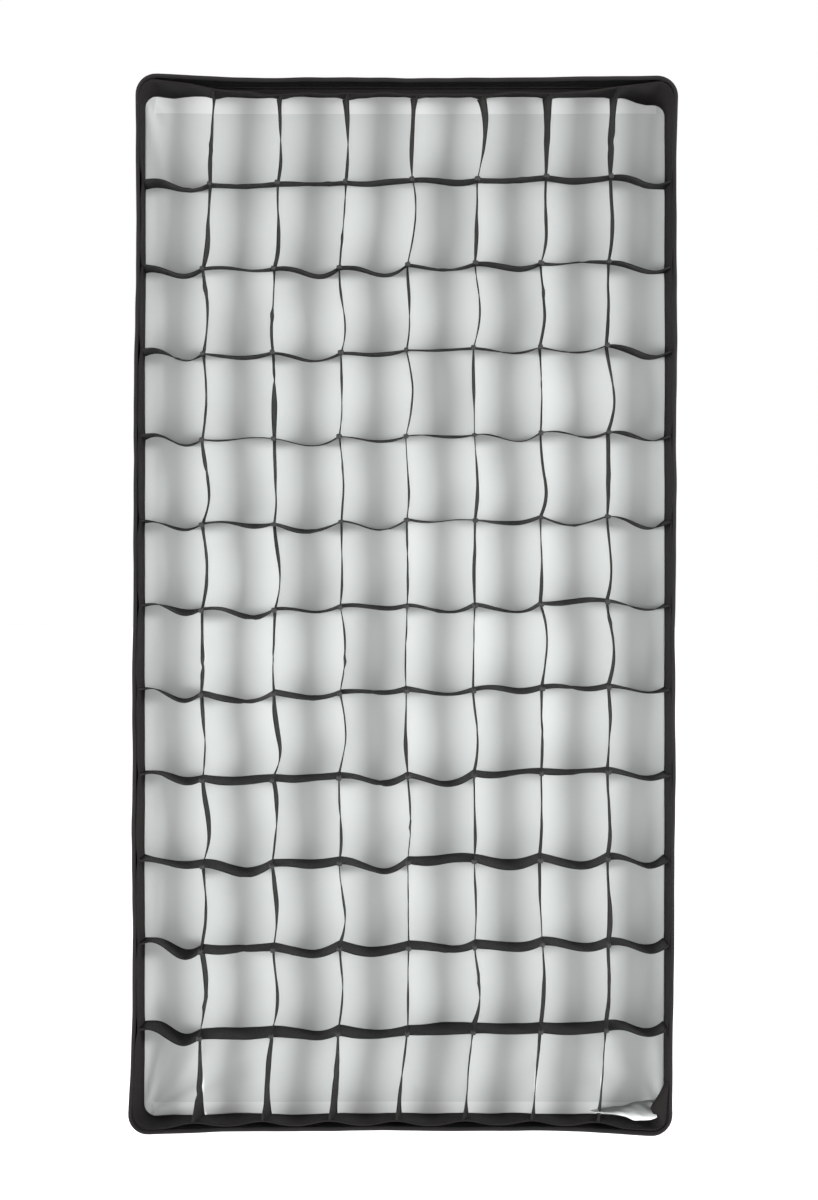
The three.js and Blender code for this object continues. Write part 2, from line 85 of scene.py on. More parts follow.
# ---------------- materials
class Nodes:
    """The node tree of a new material or world, with short ways to add and join nodes."""

    def __init__(self, owner, shader="Principled BSDF", place="Object"):
        owner.use_nodes = True
        self.owner, self.tree = owner, owner.node_tree
        self.shader = self.tree.nodes[shader]
        self.place = self.add("ShaderNodeTexCoord").outputs[place]

    def add(self, kind, inputs=None, **settings):
        node = self.tree.nodes.new(kind)
        for key, value in settings.items():
            setattr(node, key, value)
        for key, value in (inputs or {}).items():
            self.set(node.inputs[key], value)
        return node

    def set(self, socket, value):
        if isinstance(value, bpy.types.NodeSocket):
            self.tree.links.new(value, socket)
        else:
            socket.default_value = value

    def math(self, operation, a, b=0.0):
        return self.add("ShaderNodeMath", {0: a, 1: b}, operation=operation).outputs[0]

    def mix(self, share, first, second):
        """A colour between two colours."""
        node = self.add("ShaderNodeMix", data_type="RGBA")
        self.set(node.inputs["Factor"], share)
        for socket, colour in zip((node.inputs[6], node.inputs[7]), (first, second)):
            self.set(socket, colour if isinstance(colour, bpy.types.NodeSocket) else (*colour, 1))
        return node.outputs[2]

    def noise(self, scale, detail=3.0, rough=0.5):
        values = {"Vector": self.place, "Scale": scale, "Detail": detail, "Roughness": rough}
        return self.add("ShaderNodeTexNoise", values).outputs["Fac"]

    def between(self, value, low, high, at_low, at_high):
        """Runs smoothly from one value to another."""
        ends = {"Value": value, "From Min": low, "From Max": high, "To Min": at_low, "To Max": at_high}
        return self.add("ShaderNodeMapRange", ends, interpolation_type="SMOOTHSTEP").outputs["Result"]

    def weave(self, pitch):
        """1 on the top of a thread and -1 between threads, on a face that looks any way."""
        x, y, z = self.add("ShaderNodeSeparateXYZ", {0: self.place}).outputs
        turn = 2 * pi / pitch
        across = self.math("SINE", self.math("MULTIPLY", self.math("ADD", x, y), turn))
        slanted = self.math("ADD", z, self.math("MULTIPLY", y, 0.7))
        along = self.math("SINE", self.math("MULTIPLY", slanted, turn))
        return self.math("MULTIPLY", across, along)

    def bump(self, height, strength, distance, under=None):
        values = {"Height": height, "Strength": strength, "Distance": distance}
        if under is not None:
            values["Normal"] = under
        return self.add("ShaderNodeBump", values).outputs["Normal"]

    def finish(self, **values):
        """Sets the shader's inputs, whose names have _ for a space."""
        for key, value in values.items():
            self.set(self.shader.inputs[key.replace("_", " ")], value)
        return self.owner


def cloth_material(name, dark, light, roughness, pitch=0.9 * MM, patch=9.0, relief=0.35, **more):
    """Woven cloth: threads, a faint mottle between two colours, and small creases."""
    n = Nodes(bpy.data.materials.new(name))
    weave = n.weave(pitch)
    share = n.math("ADD", n.noise(patch, 5), n.math("MULTIPLY", weave, 0.04))
    colour = n.mix(share, dark, light)
    creases = n.bump(n.noise(45, 4, 0.6), 0.25, 1.2 * MM)
    normal = n.bump(weave, relief, 0.25 * MM, creases)
    more.update(Sheen_Weight=0.02, Sheen_Roughness=0.45, Specular_IOR_Level=0.06)
    return n.finish(Base_Color=colour, Roughness=roughness, Normal=normal, **more)


def painted_shade_material(name, upper, lower, top, depth):
    """White cloth whose colour is painted darker towards its top: painted shade of the cloth above it."""
    n = Nodes(bpy.data.materials.new(name))
    below = n.math("SUBTRACT", top, n.add("ShaderNodeSeparateXYZ", {0: n.place}).outputs[2])
    share = n.add("ShaderNodeMath", {0: below, 1: depth}, operation="DIVIDE", use_clamp=True).outputs[0]
    creases = n.bump(n.noise(120, 3), 0.2, 0.6 * MM)
    return n.finish(Base_Color=n.mix(share, upper, lower), Roughness=0.75, Normal=creases)


def metal_material(name, colour, roughness, metallic=1.0, coat=0.0, grain=900.0):
    n = Nodes(bpy.data.materials.new(name))
    marks = n.bump(n.noise(grain, 2), 0.15, 0.2 * MM)
    wear = n.noise(35, 4, 0.6)
    shade = n.mix(wear, [c * 0.82 for c in colour], [min(1.0, c * 1.15) for c in colour])
    rough = n.math("ADD", roughness - 0.05, n.math("MULTIPLY", wear, 0.12))
    return n.finish(Base_Color=shade, Roughness=rough, Normal=marks, Metallic=metallic, Coat_Weight=coat)


def plastic_material(name, colour, roughness, grain=1400.0):
    n = Nodes(bpy.data.materials.new(name))
    shade = n.mix(n.noise(20, 3), [c * 0.85 for c in colour], [min(1.0, c * 1.2) for c in colour])
    return n.finish(Base_Color=shade, Roughness=roughness, Normal=n.bump(n.noise(grain, 2), 0.2, 0.15 * MM))


SHELL_BLACK = cloth_material("shell_cloth", (0.006, 0.006, 0.007), (0.012, 0.012, 0.013), 0.6, relief=0.12)
LIP_BLACK = cloth_material("lip_cloth", (0.008, 0.0072, 0.0078), (0.018, 0.0165, 0.017), 0.7)
STRIP_BLACK = cloth_material("grid_cloth", (0.005, 0.005, 0.0048), (0.016, 0.0152, 0.0145), 0.6, patch=6.0)
TAPE_BLACK = cloth_material("binding_tape", (0.009, 0.009, 0.01), (0.018, 0.018, 0.019), 0.72, pitch=1.6 * MM)
BAND_BLACK = cloth_material("band_tape", (0.006, 0.0052, 0.0052), (0.015, 0.0135, 0.0132), 0.85)
HOOK_BLACK = cloth_material("hook_tape", (0.004,) * 3, (0.009,) * 3, 0.95, pitch=1.3 * MM, relief=0.8)
THREAD = cloth_material("thread", (0.03, 0.03, 0.03), (0.055, 0.054, 0.052), 0.7, pitch=0.5 * MM)
TACK_THREAD = cloth_material("tack_thread", (0.028, 0.028, 0.028), (0.046, 0.046, 0.045), 0.7, pitch=1.1 * MM)
SMOOTH = {"patch": 4.0, "relief": 0.12}
WHITE = cloth_material("white_cloth", (0.495, 0.516, 0.508), (0.55, 0.57, 0.561), 0.75, **SMOOTH)
WHITE_HEM = cloth_material("white_hem", (0.6, 0.615, 0.61), (0.66, 0.67, 0.665), 0.7, **SMOOTH)
# Painted shade on the loose corner: its white is darker than the front cloth's, and darker still at its top.
# It lightens over TIP_SHADE below the height TIP_TOP.
TIP_TOP, TIP_SHADE = -0.572, 0.011
WHITE_TIP_PAINTED_SHADE = painted_shade_material("white_corner", (0.31, 0.325, 0.32), (0.46, 0.47, 0.468), TIP_TOP, TIP_SHADE)
SILVER = cloth_material(
    "silver_lining", (0.52, 0.52, 0.53), (0.66, 0.66, 0.67), 0.32,
    relief=0.3, Metallic=0.85,
)
CAST = metal_material("cast_black", (0.018, 0.018, 0.019), 0.5, metallic=0.3, coat=0.2)
ALUMINIUM = metal_material("turned_metal", (0.62, 0.63, 0.65), 0.3)
STEEL = metal_material("screw_steel", (0.5, 0.51, 0.53), 0.28)
BRASS = metal_material("pad_brass", (0.62, 0.45, 0.2), 0.35)
KNOB = plastic_material("knob_plastic", (0.016, 0.016, 0.017), 0.38)
RUBBER = plastic_material("cap_rubber", (0.012, 0.012, 0.012), 0.8)
GLASS_FIBRE = plastic_material("rib_glass_fibre", (0.55, 0.53, 0.47), 0.35, grain=500.0)

# Material, body and slot of what there is more than one of.
SHELL_TAPE = TAPE_BLACK, "softbox", "binding_tape"
GRID_BAND = BAND_BLACK, "grid", "band_tape"


# ---------------- mesh helpers
def placed(name, data):
    """A new object in the scene."""
    made = bpy.data.objects.new(name, data)
    bpy.context.scene.collection.objects.link(made)
    return made


def piece(name, points, faces, material, body, slot, replaces=(), smooth=True):
    """A new mesh piece of the object, riding on a body."""
    mesh = bpy.data.meshes.new(name)
    mesh.from_pydata([tuple(p) for p in points], [], faces)
    mesh.validate()
    mesh.polygons.foreach_set("use_smooth", [smooth] * len(mesh.polygons))
    mesh.materials.append(material)
    made = placed(name, mesh)
    if replaces:
        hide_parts(*replaces)
    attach(made, body)
    return made


def grid_faces(rows, columns, close_rows=False, close_columns=False):
    """Quads over points numbered row by row."""
    faces = []
    for i in range(rows if close_rows else rows - 1):
        for j in range(columns if close_columns else columns - 1):
            a, b = i * columns + j, i * columns + (j + 1) % columns
            c, d = (i + 1) % rows * columns + (j + 1) % columns, (i + 1) % rows * columns + j
            faces.append((a, b, c, d))
    return faces


def tube_faces(rings, around, closed=False):
    """Faces over rings of points. The ends are capped unless closed."""
    faces = grid_faces(rings, around, close_rows=closed, close_columns=True)
    if not closed:
        faces += [tuple(reversed(range(around))), tuple(range((rings - 1) * around, rings * around))]
    return faces


def rim_numbers(rows, columns):
    """The numbers of a grid's points round its rim."""
    count = rows * columns
    rim = [*range(columns), *range(2 * columns - 1, count, columns)]
    return rim + [*range(count - 2, count - columns - 1, -1), *range(count - 2 * columns, 0, -columns)]


def two_sided(outer, inner):
    """Points and faces of a closed cloth between two like grids. The outer grid's faces come first."""
    rows, columns = outer.shape[:2]
    count = rows * columns
    faces = grid_faces(rows, columns)
    faces += [tuple(count + k for k in reversed(face)) for face in faces]
    rim = rim_numbers(rows, columns)
    faces += [(a, a + count, b + count, b) for a, b in zip(rim, rim[1:] + rim[:1])]
    return np.concatenate([outer.reshape(-1, 3), inner.reshape(-1, 3)]), faces


def area_of(grid):
    steps = np.cross(np.diff(grid, axis=0)[:, :-1], np.diff(grid, axis=1)[:-1])
    return float(np.linalg.norm(steps, axis=-1).sum())


def thicken(made, thickness, offset=-1.0):
    modifier = made.modifiers.new("cloth thickness", "SOLIDIFY")
    modifier.thickness = thickness
    modifier.offset = offset


def unit(vectors):
    return vectors / np.maximum(np.linalg.norm(vectors, axis=-1, keepdims=True), 1e-12)


def tangents(points, closed):
    if closed:
        return unit(np.roll(points, -1, 0) - np.roll(points, 1, 0))
    return unit(np.gradient(points, axis=0))


def run_length(curve, closed=True):
    steps = np.roll(curve, -1, 0) - curve if closed else np.diff(curve, axis=0)
    return float(np.linalg.norm(steps, axis=1).sum())


# A hemmed ribbon's section from its front edge to its rear edge, as (share of the depth, half thickness).
HEMMED = [(0.0, 0.55), (0.02, 1.0), (0.1, 1.0), (0.125, 0.5), (0.5, 0.46)]
HEMMED += [(0.875, 0.5), (0.9, 1.0), (0.98, 1.0), (1.0, 0.55)]


def ribbon_mesh(front, rear, half_thickness, closed=False, section=HEMMED, swell=None):
    """Points and faces of a cloth ribbon between two edge curves."""
    front, rear = np.array(front), np.array(rear)
    depth = rear - front
    normal = unit(np.cross(tangents((front + rear) / 2, closed), unit(depth)))
    swell = np.ones(len(front)) if swell is None else np.array(swell)
    ring = [(share, half) for share, half in section] + [(share, -half) for share, half in reversed(section)]
    half_at = swell[:, None] * half_thickness
    points = np.stack([front + depth * share + normal * (half_at * half) for share, half in ring], 1)
    return points.reshape(-1, 3), tube_faces(len(front), len(ring), closed)


def ribbon(name, front, rear, half_thickness, material, body, slot, replaces=(), **shape):
    points, faces = ribbon_mesh(front, rear, half_thickness, **shape)
    return piece(name, points, faces, material, body, slot, replaces)


def joined(parts):
    """Several (points, faces) as one."""
    points, faces, start = [], [], 0
    for some, own in parts:
        points.append(np.array(some))
        faces += [tuple(start + k for k in face) for face in own]
        start += len(some)
    return np.concatenate(points), faces


def smooth_noise(x, y, z, scale):
    return noise.noise(Vector((x * scale + 11.3, y * scale - 4.7, z * scale + 7.9)))


# ---------------- outline of the front
def rounded_loop(half_x, half_z, radius, step):
    """Points (x, z) and outward normals round a rounded rectangle, clockwise from the middle of the top."""
    points, normals = [], []
    quarter = max(4, round(pi / 2 * radius / step))

    def towards(degrees):
        return Vector((cos(radians(degrees)), sin(radians(degrees))))

    def straight(start, end, out):
        count = max(2, round((end - start).length / step))
        points.extend(start.lerp(end, k / count) for k in range(count))
        normals.extend([out] * count)

    top = last = Vector((0, half_z))
    for sign_x, sign_z, start in [(1, 1, 90), (1, -1, 0), (-1, -1, -90), (-1, 1, -180)]:
        centre = Vector((sign_x * (half_x - radius), sign_z * (half_z - radius)))
        straight(last, centre + radius * towards(start), towards(start))
        turned = [towards(start - 90 * k / quarter) for k in range(quarter)]
        points += [centre + radius * out for out in turned]
        normals += turned
        last = centre + radius * towards(start - 90)
    straight(last, top, Vector((0, 1)))
    return np.array(points), np.array(normals)


# How each corner of the lip is pushed by its rib: sign of x, sign of z, push in x and z in millimetres.
CORNER_PUSHES = [(-1, 1, -1.5, 4.5), (1, 1, 2.5, 1.0), (-1, -1, -7.0, -2.5), (1, -1, 0.5, -4.5)]
LIP_SHEAR = 2.5 * MM
LIP_WAIST = Vector((-1.9 * MM, 2.0 * MM))
PUSH_REACH = 0.075


def lip_shift(x, z, share):
    """How far the lip stands off its cut shape at (x, z). share is 0 at the shell and 1 at the front."""
    move = Vector((LIP_SHEAR * z / HALF_HEIGHT, 0))
    for sign_x, sign_z, push_x, push_z in CORNER_PUSHES:
        away = Vector((x - sign_x * HALF_WIDTH, z - sign_z * HALF_HEIGHT)).length
        move += exp(-((away / PUSH_REACH) ** 2)) * MM * Vector((push_x, push_z))
    move.x -= LIP_WAIST.x * x / HALF_WIDTH * cos(pi / 2 * min(1, abs(z) / HALF_HEIGHT))
    move.y -= LIP_WAIST.y * z / HALF_HEIGHT * cos(pi / 2 * min(1, abs(x) / HALF_WIDTH))
    move.x += 1.6 * MM * smooth_noise(x, 0, z, 9) + 0.6 * MM * smooth_noise(x, 3, z, 31)
    move.y += 1.6 * MM * smooth_noise(z, 5, x, 9) + 0.6 * MM * smooth_noise(z, 9, x, 31)
    return move * share


def lip_share(y):
    return (LIP_REAR - y) / (LIP_REAR - LIP_FRONT)


def lip_outline(inset, step):
    return rounded_loop(HALF_WIDTH - inset, HALF_HEIGHT - inset, max(CORNER_RADIUS - inset, 8 * MM), step)


def lip_edge(inset, y, step, extra=None):
    """A closed curve round the inside of the lip, at a depth y. extra(x, z, out) moves it further inwards."""
    curve = []
    for (x, z), out in zip(*lip_outline(inset, step)):
        inward = float(extra(x, z, out)) if extra else 0.0
        moved = Vector((x, z)) + lip_shift(x, z, lip_share(y)) - Vector(out) * inward
        curve.append((moved.x, y, moved.y))
    return np.array(curve)


# ---------------- the grid's border band
CHANCE = random.Random(SEED)


def mm(low, high):
    return CHANCE.uniform(low, high) * MM


def near_attachment(value, places, reach):
    """1 at the nearest place and 0 further than reach from it."""
    gap = min(abs(value - place) for place in places)
    return 0.5 + 0.5 * cos(pi * min(1.0, gap / reach))


def share_up(z):
    return z / HALF_HEIGHT


TOP_X = [COLUMN_X[i] + (11 + 1.6 * (i - 4)) * MM + mm(-1.5, 1.5) for i in range(1, UPRIGHTS + 1)]
BOTTOM_X = [COLUMN_X[i] + (-7 + 1.6 * (i - 4)) * MM + mm(-1.5, 1.5) for i in range(1, UPRIGHTS + 1)]
SIDE_Z = [ROW_Z[j] + (-1 - 14 * share_up(ROW_Z[j])) * MM for j in range(1, CROSSES + 1)]


def ramp(value, start, reach):
    """0 up to start and 1 from start + reach on, smoothly."""
    t = min(1.0, max(0.0, (value - start) / reach))
    return t * t * (3 - 2 * t)


def corner_drop(x, z):
    """How far the band hangs down at the top corners, most at the right one."""
    return (13 if x > 0 else 4) * MM * ramp(abs(x), 0.24, 0.05) * ramp(z, 0.53, 0.05)


def blended(out, top, bottom, side):
    """One value round a corner, from the values of the edges on its two sides."""
    return out[1] ** 2 * (top if out[1] > 0 else bottom) + out[0] ** 2 * side


def band_front_pull(x, z, out):
    """How far the band's front edge stands inwards of its rear edge."""
    corner = min(1.0, max(0.0, (HALF_WIDTH - abs(x)) + (HALF_HEIGHT - abs(z)) - 6 * MM) / (40 * MM))
    top = 12 + 1.5 * near_attachment(x, TOP_X, 34 * MM) + 2.2 * smooth_noise(x, 51, z, 38)
    top *= 1 - 0.7 * ramp(abs(x), 0.18, 0.09)
    bottom = 1.2 + 5.4 * near_attachment(x, BOTTOM_X, 36 * MM)
    side = -2.8 + 2.4 * near_attachment(z, SIDE_Z, 22 * MM) + (1.6 if x < 0 else 0)
    pull = blended(out, top, bottom, side) * corner
    return (pull + 1.7 * smooth_noise(x, 21, z, 15)) * MM


def band_rear_pull(x, z, out):
    top = 7.2 + 2.6 * near_attachment(x, TOP_X, 13 * MM) + 1.6 * smooth_noise(x, 57, z, 40)
    bottom = 4.4 + 1.4 * smooth_noise(x, 57, z, 30)
    fade = min(1.0, (HALF_WIDTH - abs(x)) / (40 * MM))
    bottom *= fade * (1 - ramp(x, 0.22, 0.06))
    side = 0.1 + 0.5 * near_attachment(z, SIDE_Z, 12 * MM)
    pull = blended(out, top * fade, bottom, side)
    return (pull + 0.8 * smooth_noise(x, 35, z, 13)) * MM


BAND_MIDDLE = BAND_INSET - 0.7 * MM


def band_point(x, z, out, inset, front):
    """A point of the band above its flat place (x, z), where the outward direction is out."""
    y = GRID_FRONT if front else GRID_REAR
    pull = band_front_pull(x, z, out) if front else band_rear_pull(x, z, out)
    moved = Vector((x, z)) + lip_shift(x, z, lip_share(y)) - Vector(out) * (pull + inset)
    drop = 0.0 if front else corner_drop(moved.x, moved.y)
    return Vector((moved.x, y, moved.y - drop))


def build_band():
    front = lip_edge(BAND_MIDDLE, GRID_FRONT, 4 * MM, band_front_pull)
    rear = lip_edge(BAND_MIDDLE, GRID_REAR, 4 * MM, band_rear_pull)
    front[:, 1] += [1.2 * MM * smooth_noise(p[0], 2, p[2], 23) for p in front]
    rear[:, 2] -= [corner_drop(p[0], p[2]) for p in rear]
    band = ribbon(
        "egg_band", front, rear, 0.9 * MM, *GRID_BAND, ["grid_band"], closed=True,
    )
    flange_in = lip_edge(BAND_MIDDLE + 0.2 * MM, GRID_REAR - 0.5 * MM, 4 * MM, band_rear_pull)
    flange_in[:, 2] -= [corner_drop(p[0], p[2]) for p in flange_in]
    flange_out = lip_edge(BAND_MIDDLE + 0.2 * MM, GRID_REAR - 0.1 * MM, 4 * MM, lambda x, z, out: -0.8 * MM)
    flange = ribbon(
        "egg_band_flange", flange_in, flange_out, 0.4 * MM, *GRID_BAND,
        closed=True, section=[(0, 0.6), (0.5, 1), (1, 0.6)],
    )


# ---------------- the grid's strips
# The strips' front edges hang lower than their rear edges.
FRONT_DROP = 3.2 * MM
STRIP_HALF = 0.52 * MM


def crossings():
    """The front and rear point of every crossing, and of every end on the band."""
    nodes = {}
    for i in range(1, UPRIGHTS + 1):
        for j in range(1, CROSSES + 1):
            lean = 4.5 if j == CROSSES else -1.5 if j == 1 else 0
            slack = -5 if i == 1 and j < CROSSES else 0
            x = COLUMN_X[i] + (3 + 1.6 * (i - 4) + lean + slack) * MM + mm(-1.5, 1.5)
            z = ROW_Z[j] + (-2.5 - 9 * share_up(ROW_Z[j]) + 1.6 * (i - 4)) * MM + mm(-1.2, 1.2)
            front = Vector((x, GRID_FRONT + mm(-1.5, 1.5), z))
            rear_x = x + 2.0 * MM * x / HALF_WIDTH + mm(-1.2, 1.2)
            rear = Vector((rear_x, GRID_REAR + mm(-0.6, 0.4), z + FRONT_DROP + mm(-1, 1)))
            nodes[i, j] = front, rear
        for j, x, sign in ((0, BOTTOM_X[i - 1], -1), (CROSSES + 1, TOP_X[i - 1], 1)):
            flat = (x, sign * (HALF_HEIGHT - BAND_MIDDLE))
            front, rear = (band_point(*flat, (0, sign), 0.8 * MM, at_front) for at_front in (True, False))
            rear.x -= sign * mm(1.5, 4.5)
            nodes[i, j] = front, rear
    for j in range(1, CROSSES + 1):
        for i, sign in ((0, -1), (UPRIGHTS + 1, 1)):
            flat = (sign * (HALF_WIDTH - BAND_MIDDLE), SIDE_Z[j - 1])
            nodes[i, j] = tuple(band_point(*flat, (sign, 0), 0.8 * MM, front) for front in (True, False))
    return nodes


def hung_curve(points, shapes, axis, steps, seed):
    """A curve through points. Between two of them it bows along axis as its shape says: (bow, where, hump,
    kink, the kink's place)."""
    curve = []
    for k, (bow, power, hump, kink, bend) in enumerate(shapes):
        start, end = points[k], points[k + 1]
        for step in range(steps + (k == len(shapes) - 1)):
            s = step / steps
            here = start.lerp(end, s)
            ease = sin(pi * s)
            here[axis] += bow * sin(pi * s**power) + hump * sin(2 * pi * s)
            here[axis] += kink * max(0.0, 1 - abs(s - bend) / 0.09) ** 1.5
            here[axis] += 0.9 * MM * ease * smooth_noise(here.x, seed, here.z, 42)
            here.y += 1.0 * MM * ease * smooth_noise(here.x, seed + 3.7, here.z, 24)
            curve.append(here)
    return np.array(curve)


def end_swell(count, reach, size):
    """A strip is folded over and sewn to the band at its ends, so that it is thicker there."""
    places = np.minimum(np.arange(count), np.arange(count)[::-1]) / reach
    return 1 + size * np.clip(1 - places, 0, 1) ** 2


def build_strip(kind, number, line, shapes, axis, steps, seeds, swell):
    """A strip through a line of crossings. Shapes and seeds are those of its front and its rear edge."""
    front, rear = (
        hung_curve([ends[k] for ends in line], shapes[k], axis, steps, seeds[k]) for k in (0, 1)
    )
    strip = ribbon(
        f"egg_{kind}_{number}", front, rear, STRIP_HALF, STRIP_BLACK, "grid", "grid_cloth",
        [f"grid_{kind}_{number}"], swell=end_swell(len(front), *swell),
    )


def build_strips(nodes):
    for i in range(1, UPRIGHTS + 1):
        shapes = [], []
        for j in range(CROSSES + 1):
            bow, power, hump = mm(-1.5, 7.5), CHANCE.uniform(0.8, 2.4), mm(-1.2, 1.2)
            kink = CHANCE.choice((0, 0, mm(-2.2, 2.2))), CHANCE.uniform(0.2, 0.75)
            if j == CROSSES:
                bow, power = mm(-1, 2), 1.2
            shapes[0].append((bow, power, hump, *kink))
            shapes[1].append((bow + mm(-2.2, 2), power, -0.6 * hump, -0.6 * kink[0], kink[1]))
        line = [nodes[i, j] for j in range(CROSSES + 1, -1, -1)]
        build_strip("upright", i, line, shapes, 0, 24, (i, i + 20), (5, 3.0))
    for j in range(1, CROSSES + 1):
        shapes = [], []
        for i in range(UPRIGHTS + 1):
            slack = 1.05 - abs(share_up(ROW_Z[j])) ** 3
            bow, power, hump = -mm(0, 12) * slack, CHANCE.uniform(1.0, 1.9), mm(-2.6, 3) * slack
            kink = CHANCE.choice((0, 0, mm(-1.6, 1.6))), CHANCE.uniform(0.3, 0.75)
            if i == 0:
                bow, hump = -mm(1, 7), mm(1, 6)
            if i == UPRIGHTS:
                bow, power, hump = -mm(3, 8), 1.6, mm(0, 3)
            shapes[0].append((bow, power, hump, *kink))
            bow, hump = bow + mm(-2.6, 2.8), hump * CHANCE.uniform(0.3, 1)
            shapes[1].append((bow, power, hump, -0.6 * kink[0], kink[1]))
        line = [nodes[i, j] for i in range(UPRIGHTS + 2)]
        build_strip("cross", j, line, shapes, 2, 20, (j + 40, j + 60), (4, 2.5))


def build_tacks(nodes):
    """The stitched loop of tape that ties the strips together at every crossing."""
    parts = []
    around, along = 16, 13
    for i in range(1, UPRIGHTS + 1):
        for j in range(1, CROSSES + 1):
            front, rear = nodes[i, j]
            depth = mm(9, 13)
            ahead = (rear - front).normalized()
            start = front - ahead * 1.1 * MM
            half_x, half_z = mm(2.4, 3.4), mm(2.0, 2.8)
            turn = CHANCE.uniform(-0.3, 0.3)
            points = []
            for a in range(along):
                share = a / (along - 1)
                full = (1 - abs(2 * share - 1) ** 5) ** 0.5 + 0.02
                full *= 1 + 0.05 * cos(share * pi * 10)
                for b in range(around):
                    angle = 2 * pi * b / around
                    u = copysign(abs(cos(angle)) ** 0.55, cos(angle)) * half_x * full
                    v = copysign(abs(sin(angle)) ** 0.55, sin(angle)) * half_z * full
                    here = start + ahead * depth * share
                    x, z = u * cos(turn) - v * sin(turn), u * sin(turn) + v * cos(turn)
                    points.append((here.x + x, here.y, here.z + z))
            faces = tube_faces(along, around)
            parts.append((points, faces[:-2] + [cap[::-1] for cap in faces[-2:]]))
    points, faces = joined(parts)
    piece("egg_tacks", points, faces, TACK_THREAD, "grid", "grid_cloth")


GRID_NODES = crossings()
build_band()
build_strips(GRID_NODES)
build_tacks(GRID_NODES)


# ---------------- lip and its tapes
def build_lip():
    front = lip_edge(1.6 * MM, LIP_FRONT + 1.2 * MM, 4 * MM)
    rear = lip_edge(1.0 * MM, LIP_REAR, 4 * MM)
    front[:, 1] += [1.4 * MM * smooth_noise(p[0], 8, p[2], 12) for p in front]
    section = [(-0.02, 0.4), (0.0, 1.25), (0.04, 1.75), (0.12, 1.6)]
    section += [(0.15, 0.8), (0.4, 0.75), (0.7, 0.75), (1.0, 0.8)]
    lip = ribbon(
        "mouth_lip", front, rear, 1.2 * MM, LIP_BLACK, "softbox", "binding_tape", ["front_lip"],
        closed=True, section=section,
    )


# The tapes lie closer together at the lip than the frame's plain rings do.
RING_TAPE_SHIFT = 0.7 * MM


def build_ring_tape(name, node, material, body, slot, thickness):
    """A narrow tape that runs round the inside of the lip in place of a CAD one."""
    low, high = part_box(node)
    inset = HALF_WIDTH - high.x - RING_TAPE_SHIFT + thickness / 2
    front = lip_edge(inset, low.y, 5 * MM)
    rear = lip_edge(inset, high.y, 5 * MM)
    tape = ribbon(name, front, rear, thickness / 2, material, body, slot, [node], closed=True)


build_lip()
build_ring_tape("hook_strip", "hook_tape", HOOK_BLACK, "softbox", "hook_tape", 1.1 * MM)
build_ring_tape("cloth_strip", "front_cloth_band", BAND_BLACK, "front", "band_tape", 0.9 * MM)


# ---------------- the two white cloths
# The cloths are cut a little larger than their frames, so that they can sag.
CUT_EASE = 1.006


def flat_cloth(name, half, y, hold):
    """A flat rectangular cloth as a grid of points. hold(x, z) is how far the lip pulls a point."""
    columns, rows = (round(2 * size / CLOTH_STEP) + 1 for size in half)
    xs, zs = np.linspace(-half.x, half.x, columns), np.linspace(-half.y, half.y, rows)
    points = []
    for z in zs:
        for x in xs:
            held = hold(x, z)
            points.append((x + held.x, y + 1.5 * MM * smooth_noise(x, y * 50, z, 7), z + held.y))
    mesh = bpy.data.meshes.new(name)
    mesh.from_pydata(points, [], grid_faces(rows, columns))
    made = placed(name, mesh)
    rest = made.shape_key_add(name="Basis")
    cut = made.shape_key_add(name="cut")
    for k, (x, z) in enumerate((x, z) for z in zs for x in xs):
        cut.data[k].co = (x * CUT_EASE, y, z * CUT_EASE)
        rest.data[k].co = points[k]
    cut.value = 0
    return made, columns, rows


def hang(cloth, pinned, frames):
    """Lets a cloth hang from its pinned points."""
    group = cloth.vertex_groups.new(name="pinned")
    group.add(pinned, 1.0, "REPLACE")
    modifier = cloth.modifiers.new("hang", "CLOTH")
    values = {
        "quality": 6, "mass": 0.12, "tension_stiffness": 40, "compression_stiffness": 40,
        "shear_stiffness": 12, "bending_stiffness": 0.35, "tension_damping": 12, "air_damping": 4,
        "vertex_group_mass": "pinned",
        "rest_shape_key": cloth.data.shape_keys.key_blocks["cut"],
    }
    for key, value in values.items():
        setattr(modifier.settings, key, value)
    modifier.point_cache.frame_start = 1
    modifier.point_cache.frame_end = frames
    modifier.collision_settings.use_collision = False


def settled_points(cloth):
    """The cloth's points as its modifiers leave them."""
    graph = bpy.context.evaluated_depsgraph_get()
    settled = cloth.evaluated_get(graph).to_mesh()
    points = np.zeros(len(settled.vertices) * 3)
    settled.vertices.foreach_get("co", points)
    cloth.evaluated_get(graph).to_mesh_clear()
    return points.reshape(-1, 3)


CLOTH_STEP = 12 * MM
CLOTH_FRAMES = 36
# The front cloth bellies forward to the back of the strips.
CLOTH_REACH = 3.6 * MM
REACH_FADE = 24 * MM
CLOTH_GRIDS = {}
FRONT_LOW, FRONT_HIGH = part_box("front_cloth")
FRONT_Y = FRONT_LOW.y
FRONT_HALF = Vector((FRONT_HIGH.x, FRONT_HIGH.z))
BAFFLE_LOW, BAFFLE_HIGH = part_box("inner_baffle")
BAFFLE_Y = (BAFFLE_LOW.y + BAFFLE_HIGH.y) / 2
BAFFLE_HALF = Vector((BAFFLE_HIGH.x, BAFFLE_HIGH.z))
TAB_COUNT = sum(1 for name in frame["nodes"] if name.startswith("baffle_tab_"))
TAB_PLACES = []
for tab_middle in (middle(f"baffle_tab_{k + 1}") for k in range(TAB_COUNT)):
    tab_x = max(-BAFFLE_HALF.x, min(BAFFLE_HALF.x, tab_middle.x))
    TAB_PLACES.append((tab_x, max(-BAFFLE_HALF.y, min(BAFFLE_HALF.y, tab_middle.z))))


def front_hold(x, z):
    """The front cloth is pulled out to the lip, which isn't straight."""
    edge = max(abs(x) / FRONT_HALF.x, abs(z) / FRONT_HALF.y)
    return lip_shift(x, z, 0.25) * edge


